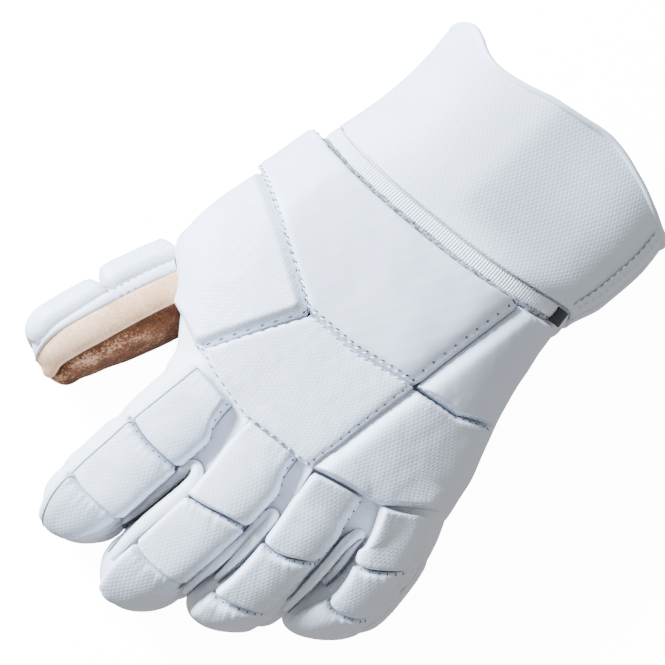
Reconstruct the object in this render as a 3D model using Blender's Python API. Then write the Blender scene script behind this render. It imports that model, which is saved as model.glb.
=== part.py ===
"""Left-hand bandy glove lying on its palm: one closed solid for each sewn piece."""

import math
from collections import namedtuple

import bpy
import bmesh
from mathutils import Vector

MM = 0.001

# Driving sizes in millimetres, before the glove is centred on its origin
HAND_LENGTH = 160.0
HAND_WIDTH = 162.0
HAND_DEPTH = 70.0
WRIST_Y = 80.0
KNUCKLE_HEIGHT = 40.0
FINGER_LENGTH = 110.0
FINGER_WIDTH = 40.0
FINGER_DEPTH = 31.0
THUMB_LENGTH = 103.0
THUMB_WIDTH = 33.0
THUMB_DEPTH = 42.0
LEATHER = 2.0
SUEDE = 2.0
GAP = 0.3
CUFF_LENGTH = 60.0
CUFF_WIDTH = 138.0
CUFF_DEPTH = 86.0
BAND_WIDTH = 8.0
BAND_THICK = 2.4
BAND_DIP = 14.0
BAND_Y = 67.0
BAND_GATHERS = 22
HAND_PAD = 11.0
FINGER_PAD = 10.0
THUMB_PAD = 11.0
THUMB_TIP_PAD = 8.5
PAD_SEAM = 2.0
PAD_BEVEL = 6.0
PAD_MARGIN = 0.5
PAD_TO_BAND = 1.4
BAND_TO_CUFF = 1.3
BAND_GATHER_DEPTH = 0.6
ELASTIC_END_ANGLE = 12.0
ELASTIC_END_SPAN = 9.0
ELASTIC_END_THICK = 1.2
THUMB_SUEDE_ANGLE = 108.0
THUMB_SUEDE_START = 0.33
THUMB_SUEDE_SLANT = 0.08
THUMB_SUEDE_END = 0.93
THUMB_PAD_FROM = 112.0
THUMB_PAD_TO = 236.0
HAND_EDGE = 0.985
SEAM_DROP = 0.55

# Squareness of the sections: 2 is an ellipse, more is boxier
HAND_SQUARE = 2.6
CUFF_SQUARE = 2.6
DIGIT_SQUARE = 2.7
DOME_START = 0.84
BLUNT = 0.35

# How far a form that cuts a hollow runs past the open end of its tube
CUT_PAST = 5.0

# The lowest face of the leather, so that the suede below it lies on the ground
REST = SUEDE + GAP

WHITE = (0.83, 0.85, 0.88)
TAN = (0.71, 0.55, 0.43)
BLACK = (0.02, 0.02, 0.02)

# Hand sections: place along HAND_LENGTH, edges as shares of HAND_WIDTH,
# mid height and the rise and drop from it as shares of HAND_DEPTH
HandRow = namedtuple("HandRow", "along left right middle rise drop lean")
HAND_ROWS = [
    HandRow(0.000, -0.358, 0.432, 0.55, 0.47, 0.58, 0.00),
    HandRow(0.190, -0.401, 0.448, 0.54, 0.46, 0.57, 0.03),
    HandRow(0.345, -0.438, 0.474, 0.53, 0.45, 0.52, 0.07),
    HandRow(0.470, -0.469, 0.508, 0.52, 0.43, 0.46, 0.10),
    HandRow(0.575, -0.463, 0.537, 0.51, 0.41, 0.41, 0.13),
    HandRow(0.700, -0.370, 0.549, 0.50, 0.37, 0.36, 0.16),
    HandRow(0.812, -0.290, 0.531, 0.49, 0.32, 0.30, 0.18),
    HandRow(0.912, -0.280, 0.469, 0.48, 0.27, 0.25, 0.18),
    HandRow(1.000, -0.247, 0.358, 0.46, 0.16, 0.15, 0.18),
]

# Cuff sections from the rim to the wrist, as shares of CUFF_LENGTH, CUFF_WIDTH and CUFF_DEPTH
CuffRow = namedtuple("CuffRow", "along left right middle rise drop lean")
CUFF_ROWS = [
    CuffRow(0.00, -0.390, 0.590, 0.50, 0.50, 0.57, 0.0),
    CuffRow(0.30, -0.400, 0.595, 0.49, 0.50, 0.56, 0.0),
    CuffRow(0.65, -0.425, 0.575, 0.47, 0.48, 0.55, 0.0),
    CuffRow(1.00, -0.454, 0.547, 0.45, 0.44, 0.54, 0.0),
]

# Length of the cuff round its rim as a share of CUFF_LENGTH, by the angle from the little-finger
# side over the back of the hand: it peaks on the thumb side and dips beside the peak
RimRow = namedtuple("RimRow", "angle length")
RIM_ROWS = [
    RimRow(0.0, 0.82),
    RimRow(30.0, 0.94),
    RimRow(60.0, 1.02),
    RimRow(90.0, 1.00),
    RimRow(115.0, 0.92),
    RimRow(135.0, 0.96),
    RimRow(155.0, 1.14),
    RimRow(190.0, 1.18),
    RimRow(270.0, 0.98),
    RimRow(360.0, 0.82),
]

# Digits: root place, reach toward the fingertips and size of the tube
Digit = namedtuple("Digit", "name root_x root_y reach width depth rows")
# Digit sections: place and sideways drift as shares of the reach, height of the middle as a
# share of KNUCKLE_HEIGHT, width and depth as shares of the digit's own
DigitRow = namedtuple("DigitRow", "along aside height width depth")
DIGITS = [
    Digit("index", -0.130 * HAND_WIDTH, WRIST_Y - 0.750 * HAND_LENGTH, 0.941 * FINGER_LENGTH,
          0.925 * FINGER_WIDTH, FINGER_DEPTH, [
        DigitRow(0.00, 0.000, 1.00, 1.00, 1.08),
        DigitRow(0.16, -0.028, 0.97, 1.00, 1.05),
        DigitRow(0.45, -0.060, 0.86, 1.00, 1.00),
        DigitRow(0.73, -0.112, 0.64, 0.98, 0.94),
        DigitRow(1.00, -0.165, 0.38, 0.88, 0.84),
    ]),
    Digit("middle", 0.086 * HAND_WIDTH, WRIST_Y - 0.750 * HAND_LENGTH, FINGER_LENGTH,
          0.900 * FINGER_WIDTH, FINGER_DEPTH, [
        DigitRow(0.00, -0.004, 1.00, 0.93, 1.08),
        DigitRow(0.14, -0.006, 0.97, 0.93, 1.05),
        DigitRow(0.46, -0.008, 0.87, 0.95, 1.00),
        DigitRow(0.76, -0.067, 0.64, 0.97, 0.94),
        DigitRow(1.00, -0.112, 0.38, 0.90, 0.84),
    ]),
    Digit("ring", 0.287 * HAND_WIDTH, WRIST_Y - 0.725 * HAND_LENGTH, 0.873 * FINGER_LENGTH,
          0.850 * FINGER_WIDTH, FINGER_DEPTH, [
        DigitRow(0.00, 0.000, 0.98, 0.92, 1.05),
        DigitRow(0.16, 0.000, 0.94, 0.93, 1.02),
        DigitRow(0.50, 0.008, 0.80, 0.93, 0.97),
        DigitRow(0.78, -0.026, 0.58, 0.90, 0.92),
        DigitRow(1.00, -0.124, 0.36, 0.86, 0.84),
    ]),
    Digit("little", 0.438 * HAND_WIDTH, WRIST_Y - 0.6125 * HAND_LENGTH, 0.818 * FINGER_LENGTH,
          0.750 * FINGER_WIDTH, 0.903 * FINGER_DEPTH, [
        DigitRow(0.00, 0.000, 0.90, 0.90, 0.90),
        DigitRow(0.24, 0.078, 0.87, 0.97, 1.00),
        DigitRow(0.49, 0.116, 0.72, 0.95, 1.00),
        DigitRow(0.73, 0.106, 0.50, 0.90, 0.94),
        DigitRow(1.00, -0.036, 0.32, 0.80, 0.84),
    ]),
]
THUMB = Digit("thumb", -0.296 * HAND_WIDTH, WRIST_Y - 0.425 * HAND_LENGTH, THUMB_LENGTH,
              THUMB_WIDTH, THUMB_DEPTH, [
    DigitRow(0.00, 0.000, 0.82, 1.00, 0.90),
    DigitRow(0.25, -0.132, 0.74, 1.00, 0.97),
    DigitRow(0.53, -0.264, 0.64, 1.00, 1.00),
    DigitRow(0.80, -0.377, 0.55, 0.96, 0.96),
    DigitRow(1.00, -0.462, 0.50, 0.84, 0.84),
])

Section = namedtuple("Section", "x y z half rise drop lean")
Tube = namedtuple("Tube", "section_at root_y reach square")

# Foam pads on the back: their wrist and finger edges from the thumb side to the little finger,
# across as shares of HAND_WIDTH and along from the wrist as shares of HAND_LENGTH;
# None stands for the edge of the wrist elastic
HandPad = namedtuple("HandPad", "name wrist_edge front_edge")
HAND_PADS = [
    HandPad("back_pad", [(-0.375 + 0.715 * k / 8, None) for k in range(9)],
            [(-0.428, 0.279), (-0.035, 0.532), (0.282, 0.499)]),
    HandPad("side_pad", [(0.356, None), (0.400, None), (0.436, None)],
            [(0.297, 0.500), (0.412, 0.478), (0.520, 0.405)]),
    HandPad("thumb_base_pad", [(-0.436, 0.290), (-0.043, 0.543)], [(-0.490, 0.575), (-0.217, 0.797)]),
    HandPad("knuckle_pad", [(-0.030, 0.547), (0.122, 0.543), (0.282, 0.513)],
            [(-0.203, 0.802), (0.005, 0.841), (0.212, 0.835)]),
    HandPad("outer_knuckle_pad", [(0.293, 0.514), (0.412, 0.491), (0.527, 0.419)],
            [(0.227, 0.837), (0.425, 0.786), (0.547, 0.702)]),
]

# Creases across each finger: where they meet the pads' thumb side and other side and how far they
# bow toward the tip between, as shares of the reach, and both sides as shares of the half width
Crease = namedtuple("Crease", "thumb_side other_side bow first_q last_q")
CREASES = {
    "index": [Crease(0.124, 0.150, 0.000, -0.50, 0.86), Crease(0.443, 0.477, 0.027, -0.64, 0.85),
              Crease(0.763, 0.778, 0.024, -0.66, 0.87), Crease(0.975, 0.975, 0.010, -0.60, 0.80)],
    "middle": [Crease(0.140, 0.131, 0.003, -0.65, 0.91), Crease(0.520, 0.458, 0.010, -0.50, 0.87),
               Crease(0.768, 0.772, 0.026, -0.43, 0.90), Crease(0.972, 0.972, 0.010, -0.50, 0.80)],
    "ring": [Crease(0.196, 0.138, 0.001, -0.59, 0.92), Crease(0.559, 0.470, 0.042, -0.42, 0.90),
             Crease(0.845, 0.775, 0.035, -0.35, 0.90), Crease(0.975, 0.975, 0.000, -0.40, 0.80)],
    "little": [Crease(0.310, 0.198, 0.014, -0.85, 0.70), Crease(0.572, 0.453, 0.030, -0.42, 0.84),
               Crease(0.768, 0.715, 0.055, -0.24, 0.90), Crease(0.970, 0.965, 0.000, -0.30, 0.75)],
}
THUMB_LINES = [0.275, 0.600, 0.960]


def interpolate(rows, along):
    """Row of a table at a place between its sections, on a smooth curve through them."""
    along = min(max(along, rows[0][0]), rows[-1][0])
    last = len(rows) - 1
    index = 0
    while index < last - 1 and rows[index + 1][0] < along:
        index += 1

    def slope(number, column):
        before, after = max(number - 1, 0), min(number + 1, last)
        return (rows[after][column] - rows[before][column]) / (rows[after][0] - rows[before][0])

    step = rows[index + 1][0] - rows[index][0]
    t = (along - rows[index][0]) / step
    values = []
    for column in range(len(rows[0])):
        a, b = rows[index][column], rows[index + 1][column]
        from_slope, to_slope = slope(index, column) * step, slope(index + 1, column) * step
        values.append((2 * t ** 3 - 3 * t ** 2 + 1) * a + (t ** 3 - 2 * t ** 2 + t) * from_slope
                      + (3 * t ** 2 - 2 * t ** 3) * b + (t ** 3 - t ** 2) * to_slope)
    return type(rows[0])(*values)


def tip_share(along):
    """How far a place is into the rounded end, from 0 to 1."""
    return max((along - DOME_START) / (1.0 - DOME_START), 0.0)


def dome(along):
    """Share of the full section that is left where a closed end rounds off."""
    return math.sqrt(max(1.0 - tip_share(along) ** 2, 0.0))


def hand_section(along):
    row = interpolate(HAND_ROWS, along)
    round_off = max(dome(along), BLUNT)
    return Section((row.left + row.right) / 2 * HAND_WIDTH, WRIST_Y - row.along * HAND_LENGTH,
                   row.middle * HAND_DEPTH, (row.right - row.left) / 2 * HAND_WIDTH * round_off,
                   row.rise * HAND_DEPTH * round_off, row.drop * HAND_DEPTH * round_off, row.lean)


def cuff_section(along):
    row = interpolate(CUFF_ROWS, along)
    return Section((row.left + row.right) / 2 * CUFF_WIDTH,
                   BAND_Y + BAND_WIDTH + BAND_TO_CUFF + (1 - row.along) * CUFF_LENGTH,
                   row.middle * CUFF_DEPTH, (row.right - row.left) / 2 * CUFF_WIDTH,
                   row.rise * CUFF_DEPTH, row.drop * CUFF_DEPTH, row.lean)


def digit_section(digit, along):
    row = interpolate(digit.rows, along)
    round_off = dome(along)
    half_depth = row.depth * digit.depth / 2 * round_off
    return Section(digit.root_x + row.aside * digit.reach, digit.root_y - row.along * digit.reach,
                   row.height * KNUCKLE_HEIGHT, row.width * digit.width / 2 * round_off,
                   half_depth, half_depth, 0.0)


def ring_point(section, angle, square, grow, floor):
    """Point of a section at an angle from +X toward +Z, on a skin grown by some millimetres."""
    c, s = math.cos(math.radians(angle)), math.sin(math.radians(angle))
    across = math.copysign(abs(c) ** (2 / square), c)
    height = math.copysign(abs(s) ** (2 / square), s)
    half = max(section.half + grow, 0.4)
    if height > 0:
        lift = (max(section.rise + grow, 0.4)) * (1 - section.lean * across)
    else:
        lift = max(section.drop + grow, 0.4)
    return Vector((section.x + half * across, section.y, max(section.z + lift * height, floor - grow)))


def digit_tube(digit):
    return Tube(lambda along: digit_section(digit, along), digit.root_y, digit.reach, DIGIT_SQUARE)


HAND = Tube(hand_section, WRIST_Y, HAND_LENGTH, HAND_SQUARE)


def hand_point(along, angle, grow=0.0):
    return ring_point(hand_section(along), angle, HAND_SQUARE, grow, REST)


def band_dip(angle):
    """How far the wrist line bows toward the fingers on the back of the hand."""
    return BAND_DIP * max(math.sin(math.radians(angle)), 0.0) ** 1.5


def cuff_point(along, angle, grow=0.0):
    point = ring_point(cuff_section(along), angle, CUFF_SQUARE, grow, 0.0)
    point.y -= band_dip(angle) * along
    point.y += (interpolate(RIM_ROWS, angle % 360.0).length - 1.0) * CUFF_LENGTH * (1 - along)
    return point


def digit_point(digit, along, angle, grow=0.0):
    return ring_point(digit_section(digit, along), angle, DIGIT_SQUARE, grow, REST)


def make_object(name, vertices, faces, colour):
    mesh = bpy.data.meshes.new(name)
    mesh.from_pydata([tuple(Vector(v) * MM) for v in vertices], [], faces)
    bm = bmesh.new()
    bm.from_mesh(mesh)
    bmesh.ops.recalc_face_normals(bm, faces=bm.faces)
    bm.to_mesh(mesh)
    bm.free()
    obj = bpy.data.objects.new(name, mesh)
    bpy.context.scene.collection.objects.link(obj)
    paint(obj, colour)
    return obj


def paint(obj, colour):
    name = {WHITE: "white leather", TAN: "tan suede", BLACK: "black elastic"}[colour]
    material = bpy.data.materials.get(name)
    if material is None:
        material = bpy.data.materials.new(name)
        material.use_nodes = True
        shader = material.node_tree.nodes["Principled BSDF"]
        shader.inputs["Base Color"].default_value = (*colour, 1.0)
        shader.inputs["Roughness"].default_value = 0.9 if colour == TAN else 0.5
        shader.inputs["Metallic"].default_value = 0.0
    obj.data.materials.clear()
    obj.data.materials.append(material)


def combine(target, other, operation):
    """Joins or cuts two meshes, and removes the second."""
    modifier = target.modifiers.new(operation, "BOOLEAN")
    modifier.operation = operation
    modifier.solver = "EXACT"
    modifier.object = other
    bpy.context.view_layer.update()
    evaluated = target.evaluated_get(bpy.context.evaluated_depsgraph_get())
    mesh = bpy.data.meshes.new_from_object(evaluated)
    target.modifiers.clear()
    target.data = mesh
    bpy.data.objects.remove(other)
    return target


def tidy(obj):
    """Merges the doubled points that a cut leaves."""
    bm = bmesh.new()
    bm.from_mesh(obj.data)
    bmesh.ops.remove_doubles(bm, verts=bm.verts, dist=0.02 * MM)
    bmesh.ops.dissolve_degenerate(bm, edges=bm.edges, dist=0.02 * MM)
    bm.to_mesh(obj.data)
    bm.free()


def loft(name, point, places, angles, grow, colour):
    """Solid tube through rings of points, with flat ends."""
    vertices = [point(place, angle, grow) for place in places for angle in angles]
    count = len(angles)
    faces = []
    for ring in range(len(places) - 1):
        for k in range(count):
            a, b = ring * count + k, ring * count + (k + 1) % count
            faces.append((a, b, b + count))
            faces.append((a, b + count, a + count))
    faces.append(tuple(range(count)))
    faces.append(tuple(reversed(range(len(vertices) - count, len(vertices)))))
    return make_object(name, vertices, faces, colour)


def spread(first, last, count):
    return [first + (last - first) * k / (count - 1) for k in range(count)]


HAND_ANGLES = spread(0, 360, 25)[:-1]
DIGIT_ANGLES = spread(0, 360, 13)[:-1]
HAND_PLACES = spread(0.0, 0.90, 7) + [0.96, 1.0]
DIGIT_PLACES = spread(0.0, 0.84, 6) + [0.92, 0.97, 1.0]


def hand_body(grow, past=0.0):
    """Solid hand form; its wrist end can run past its section line."""
    def point(along, angle, size):
        place = hand_point(along, angle, size)
        place.y -= size * tip_share(along)
        if along == HAND_PLACES[0]:
            place.y += past
        return place
    return loft("hand", point, HAND_PLACES, HAND_ANGLES, grow, WHITE)


def digit_body(digit, grow):
    def point(along, angle, size):
        place = digit_point(digit, along, angle, size)
        place.y -= size * tip_share(along)
        return place
    return loft(digit.name, point, DIGIT_PLACES, DIGIT_ANGLES, grow, WHITE)


def build_hand_shell():
    shell = combine(hand_body(0.0), hand_body(-LEATHER, past=CUT_PAST), "DIFFERENCE")
    for digit in DIGITS + [THUMB]:
        shell = combine(shell, digit_body(digit, GAP), "DIFFERENCE")
    shell.name = "hand_shell"
    return shell


def build_sleeve(digit):
    sleeve = combine(digit_body(digit, 0.0), digit_body(digit, -LEATHER), "DIFFERENCE")
    sleeve = combine(sleeve, hand_body(GAP), "DIFFERENCE")
    sleeve.name = digit.name + "_sleeve"
    return sleeve


def under_prism(section_at, places, seam, reach, grow):
    """Solid below the side seam of a tube, as wide as the tube and its suede."""
    vertices, faces = [], []
    for place in places:
        section = section_at(place)
        seam_z = section.z - seam * section.drop
        side = section.half + grow
        for x, z in ((section.x - side, -1.0), (section.x + side, -1.0),
                     (section.x + side, seam_z), (section.x - side, seam_z)):
            vertices.append((x, section.y, z))
    for ring in range(len(places) - 1):
        for k in range(4):
            a, b = ring * 4 + k, ring * 4 + (k + 1) % 4
            faces.append((a, b, b + 4, a + 4))
    last = len(vertices) - 4
    for k in range(4):
        x, y, z = vertices[last + k]
        vertices[last + k] = (x, y - reach, z)
    faces.append((0, 1, 2, 3))
    faces.append((last + 3, last + 2, last + 1, last))
    return make_object("under", vertices, faces, TAN)


def all_bodies(grow):
    body = hand_body(grow)
    for digit in DIGITS:
        body = combine(body, digit_body(digit, grow), "UNION")
    return body


def build_palm():
    """Suede under the hand and the four fingers, up to the side seams."""
    palm = combine(all_bodies(GAP + SUEDE), all_bodies(GAP), "DIFFERENCE")
    start = (WRIST_Y - BAND_Y + GAP) / HAND_LENGTH
    under = under_prism(hand_section, [start] + HAND_PLACES[1:], SEAM_DROP, GAP + SUEDE, 2 * SUEDE)
    for digit in DIGITS:
        prism = under_prism(lambda place: digit_section(digit, place), DIGIT_PLACES,
                            SEAM_DROP, GAP + 2 * SUEDE, 2 * SUEDE)
        under = combine(under, prism, "UNION")
    palm = combine(palm, under, "INTERSECT")
    palm = combine(palm, digit_body(THUMB, GAP), "DIFFERENCE")
    palm.name = "palm"
    paint(palm, TAN)
    return palm


def shell_patch(name, rows, colour):
    """Closed solid from a grid of (inner point, outer point) pairs."""
    columns = len(rows[0])
    vertices = [pair[0] for row in rows for pair in row] + [pair[1] for row in rows for pair in row]
    top = len(rows) * columns
    faces = []
    for i in range(len(rows) - 1):
        for j in range(columns - 1):
            a = i * columns + j
            b, c, d = a + 1, a + columns + 1, a + columns
            faces.append((a, b, c, d))
            faces.append((d + top, c + top, b + top, a + top))
    rim = [j for j in range(columns)]
    rim += [i * columns + columns - 1 for i in range(1, len(rows))]
    rim += [(len(rows) - 1) * columns + j for j in reversed(range(columns - 1))]
    rim += [i * columns for i in reversed(range(1, len(rows) - 1))]
    for k, a in enumerate(rim):
        b = rim[(k + 1) % len(rim)]
        faces.append((a, a + top, b + top, b))
    return make_object(name, vertices, faces, colour)


def build_thumb_palm():
    """Suede on the side and underside of the thumb, short of its white tip."""
    rows = []
    for share in spread(0.0, 1.0, 8):
        row = []
        for angle in spread(-THUMB_SUEDE_ANGLE, THUMB_SUEDE_ANGLE, 12):
            start = THUMB_SUEDE_START + THUMB_SUEDE_SLANT * math.cos(math.radians(angle))
            place = start + (THUMB_SUEDE_END - start) * share
            row.append((digit_point(THUMB, place, angle, -SUEDE), digit_point(THUMB, place, angle, GAP + SUEDE)))
        rows.append(row)
    panel = shell_patch("thumb_palm", rows, TAN)
    leather = combine(digit_body(THUMB, GAP), hand_body(REST + GAP), "UNION")
    return combine(panel, leather, "DIFFERENCE")


def build_cuff():
    def inner(along, angle, size):
        place = cuff_point(along, angle, size)
        if along == 0.0:
            place.y += CUT_PAST
        if along == 1.0:
            place.y -= CUT_PAST
        return place
    places = spread(0.0, 1.0, 5)
    cuff = loft("cuff", cuff_point, places, HAND_ANGLES, 0.0, WHITE)
    cuff = combine(cuff, loft("hollow", inner, places, HAND_ANGLES, -LEATHER, WHITE), "DIFFERENCE")
    cuff.name = "cuff"
    return cuff


def band_point(across, angle, grow):
    """Point over the hand on the wrist line; across is 0 at the cuff and 1 toward the fingers."""
    y = BAND_Y + BAND_WIDTH * (1 - across) - band_dip(angle)
    place = hand_point((WRIST_Y - y) / HAND_LENGTH, angle, grow)
    place.z = max(place.z, 0.0)
    return place


def build_wrist_elastic():
    angles = spread(0, 360, 2 * BAND_GATHERS + 1)[:-1]
    count = len(angles)
    profile = ((0.0, 0.0), (0.25, 1.0), (0.75, 1.0), (1.0, 0.0))
    vertices, faces = [], []
    for k, angle in enumerate(angles):
        gather = BAND_GATHER_DEPTH * (k % 2)
        vertices.append(band_point(0.0, angle, -GAP))
        for across, swell in profile:
            vertices.append(band_point(across, angle, GAP + BAND_THICK * (0.5 + 0.5 * swell) - gather))
        vertices.append(band_point(1.0, angle, -GAP))
    size = len(profile) + 2
    for k in range(count):
        for j in range(size):
            a, b = k * size + j, k * size + (j + 1) % size
            c, d = (k + 1) % count * size + (j + 1) % size, (k + 1) % count * size + j
            faces.append((a, b, c, d))
    return combine(make_object("wrist_elastic", vertices, faces, WHITE), hand_body(GAP), "DIFFERENCE")


def build_elastic_end():
    rows = []
    for across in spread(0.05, 0.95, 3):
        row = []
        for angle in spread(ELASTIC_END_ANGLE, ELASTIC_END_ANGLE + ELASTIC_END_SPAN, 3):
            low = GAP + BAND_THICK + GAP
            row.append((band_point(across, angle, low), band_point(across, angle, low + ELASTIC_END_THICK)))
        rows.append(row)
    return shell_patch("elastic_end", rows, BLACK)


def tube_height(tube, x, y, hold):
    """Height of a tube's back over (x, y); past its edge the edge's height, or None if not held."""
    along = (tube.root_y - y) / tube.reach
    if not hold and not 0.0 <= along < 1.0:
        return None
    section = tube.section_at(min(max(along, 0.0), 0.995))
    q = (x - section.x) / section.half
    if abs(q) > HAND_EDGE:
        if not hold:
            return None
        q = math.copysign(HAND_EDGE, q)
    return section.z + section.rise * (1 - section.lean * q) * (1 - abs(q) ** tube.square) ** (1 / tube.square)


def back_point(x, y, main, others):
    """Point on the back of the glove, over its main tube or over another that stands higher."""
    section = main.section_at(min(max((main.root_y - y) / main.reach, 0.0), 0.995))
    beside = [tube_height(other, x, y, False) for other in others]
    beside = [height for height in beside if height is not None]
    if not beside:
        x = min(max(x, section.x - HAND_EDGE * section.half), section.x + HAND_EDGE * section.half)
    return Vector((x, y, max([tube_height(main, x, y, True)] + beside)))


def back_normal(x, y, main, others):
    step = 1.5
    across = back_point(x + step, y, main, others) - back_point(x - step, y, main, others)
    along = back_point(x, y + step, main, others) - back_point(x, y - step, main, others)
    if across.length < step:
        side = math.copysign(1.0, x - main.section_at((main.root_y - y) / main.reach).x)
        across = Vector((0.25, 0.0, -side))
    normal = across.cross(along).normalized()
    normal.z = max(normal.z, 0.3)
    return normal.normalized()


def seat(pad, leather):
    """Cuts a pad's underside to the leather below it, with a small gap."""
    body = leather.copy()
    body.data = leather.data.copy()
    bpy.context.scene.collection.objects.link(body)
    return combine(pad, body, "DIFFERENCE")


def pad_rows(place, thick, rows_in, columns_in):
    """Pairs of points of a bevelled foam block; place gives a point of the leather and its normal."""
    rows = []
    for i, v in enumerate(rows_in):
        row = []
        for j, u in enumerate(columns_in):
            point, normal = place(u, v)
            at_edge = i in (0, len(rows_in) - 1) or j in (0, len(columns_in) - 1)
            row.append((point - normal * PAD_SEAM, point + normal * (PAD_SEAM if at_edge else thick)))
        rows.append(row)
    return rows


def along_edge(points, t):
    """Place on a chain of points at equal shares."""
    t = min(max(t, 0.0), 1.0) * (len(points) - 1)
    index = min(int(t), len(points) - 2)
    a, b = Vector(points[index]), Vector(points[index + 1])
    return a.lerp(b, t - index)


def steps_with_bevel(length, middle):
    """Shares along a side: its two ends, the two bevels and some steps between."""
    bevel = min(PAD_BEVEL / length, 0.35)
    return [0.0] + [bevel + (1 - 2 * bevel) * k / middle for k in range(middle + 1)] + [1.0]


def band_front(x):
    """Place along Y where the wrist elastic ends over a place across the hand."""
    section = hand_section((WRIST_Y - BAND_Y + BAND_DIP / 2) / HAND_LENGTH)
    q = min(max((x - section.x) / section.half, -1.0), 1.0)
    angle = math.degrees(math.acos(math.copysign(abs(q) ** (HAND_SQUARE / 2), q)))
    return BAND_Y - band_dip(angle) - PAD_TO_BAND


def edge_places(edge):
    """Corners of a pad on the back of the hand, held to the hand's own sides."""
    places = []
    for across, along in edge:
        x = across * HAND_WIDTH
        y = band_front(x) if along is None else WRIST_Y - along * HAND_LENGTH
        section = hand_section((WRIST_Y - y) / HAND_LENGTH)
        side = HAND_EDGE * section.half
        places.append((min(max(x, section.x - side), section.x + side), y))
    return places


def build_hand_pad(pad, leather):
    others = [digit_tube(digit) for digit in DIGITS + [THUMB]]
    wrist_edge = edge_places(pad.wrist_edge)
    front_edge = edge_places(pad.front_edge)
    width = (Vector(wrist_edge[-1]) - Vector(wrist_edge[0])).length
    height = (along_edge(front_edge, 0.5) - along_edge(wrist_edge, 0.5)).length

    def place(u, v):
        margin_u, margin_v = PAD_MARGIN / width, PAD_MARGIN / height
        u = margin_u + u * (1 - 2 * margin_u)
        v = margin_v + v * (1 - 2 * margin_v)
        spot = along_edge(wrist_edge, u).lerp(along_edge(front_edge, u), v)
        return back_point(spot.x, spot.y, HAND, others), back_normal(spot.x, spot.y, HAND, others)

    rows = pad_rows(place, HAND_PAD, steps_with_bevel(height, 4), steps_with_bevel(width, 4))
    return seat(shell_patch(pad.name, rows, WHITE), leather)


def build_finger_pads(digit, leather):
    pads = []
    tube = digit_tube(digit)
    creases = CREASES[digit.name]
    for number, (near, far) in enumerate(zip(creases, creases[1:]), 1):
        length = (far.thumb_side + far.other_side - near.thumb_side - near.other_side) / 2 * digit.reach
        margin = PAD_MARGIN / length

        def place(u, v):
            v = margin + v * (1 - 2 * margin)
            ends = [one.thumb_side + (one.other_side - one.thumb_side) * u + one.bow * 4 * u * (1 - u)
                    for one in (near, far)]
            first = near.first_q + (far.first_q - near.first_q) * v
            last = near.last_q + (far.last_q - near.last_q) * v
            section = digit_section(digit, ends[0] + (ends[1] - ends[0]) * v)
            x = section.x + (first + (last - first) * u) * section.half
            return back_point(x, section.y, tube, [HAND]), back_normal(x, section.y, tube, [HAND])

        width = (near.last_q - near.first_q) * digit.width / 2
        rows = pad_rows(place, FINGER_PAD, steps_with_bevel(length, 1), steps_with_bevel(width, 2))
        pads.append(seat(shell_patch("%s_pad_%d" % (digit.name, number), rows, WHITE), leather))
    return pads


def build_thumb_pads(leather):
    pads = []
    for number, (start, end) in enumerate(zip(THUMB_LINES, THUMB_LINES[1:]), 1):
        length = (end - start) * THUMB.reach
        margin = PAD_MARGIN / length

        def place(u, v):
            along = start + (end - start) * (margin + v * (1 - 2 * margin))
            angle = THUMB_PAD_FROM + (THUMB_PAD_TO - THUMB_PAD_FROM) * u
            point = digit_point(THUMB, along, angle)
            across = digit_point(THUMB, along, angle + 2) - digit_point(THUMB, along, angle - 2)
            forward = digit_point(THUMB, along + 0.01, angle) - digit_point(THUMB, along - 0.01, angle)
            return point, across.cross(forward).normalized()

        thick = THUMB_TIP_PAD if end == THUMB_LINES[-1] else THUMB_PAD
        rows = pad_rows(place, thick, steps_with_bevel(length, 1), steps_with_bevel(THUMB.depth, 2))
        pads.append(seat(shell_patch("thumb_pad_%d" % number, rows, WHITE), leather))
    return pads


def centre_on_origin(pieces):
    """Hangs the pieces on one empty that puts the glove's middle over the origin, on the ground."""
    corners = [vertex.co for piece in pieces for vertex in piece.data.vertices]
    low = [min(corner[k] for corner in corners) for k in range(3)]
    high = [max(corner[k] for corner in corners) for k in range(3)]
    glove = bpy.data.objects.new("glove", None)
    bpy.context.scene.collection.objects.link(glove)
    glove.location = (-(low[0] + high[0]) / 2, -(low[1] + high[1]) / 2, -low[2])
    for piece in pieces:
        piece.parent = glove


def remove_everything():
    for obj in list(bpy.data.objects):
        bpy.data.objects.remove(obj)


def build():
    remove_everything()
    pieces = [build_hand_shell(), build_palm(), build_thumb_palm(), build_cuff()]
    pieces += [build_wrist_elastic(), build_elastic_end()]
    for digit in DIGITS + [THUMB]:
        pieces.append(build_sleeve(digit))
    leather = combine(all_bodies(GAP), digit_body(THUMB, GAP), "UNION")
    for pad in HAND_PADS:
        pieces.append(build_hand_pad(pad, leather))
    for digit in DIGITS:
        pieces += build_finger_pads(digit, leather)
    pieces += build_thumb_pads(leather)
    bpy.data.objects.remove(leather)
    for piece in pieces:
        tidy(piece)
    centre_on_origin(pieces)


build()
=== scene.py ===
"""Looks of a left-hand bandy glove: leather skins, sewn foam pads, suede, cuff and elastic."""

import math
from collections import namedtuple

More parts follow.
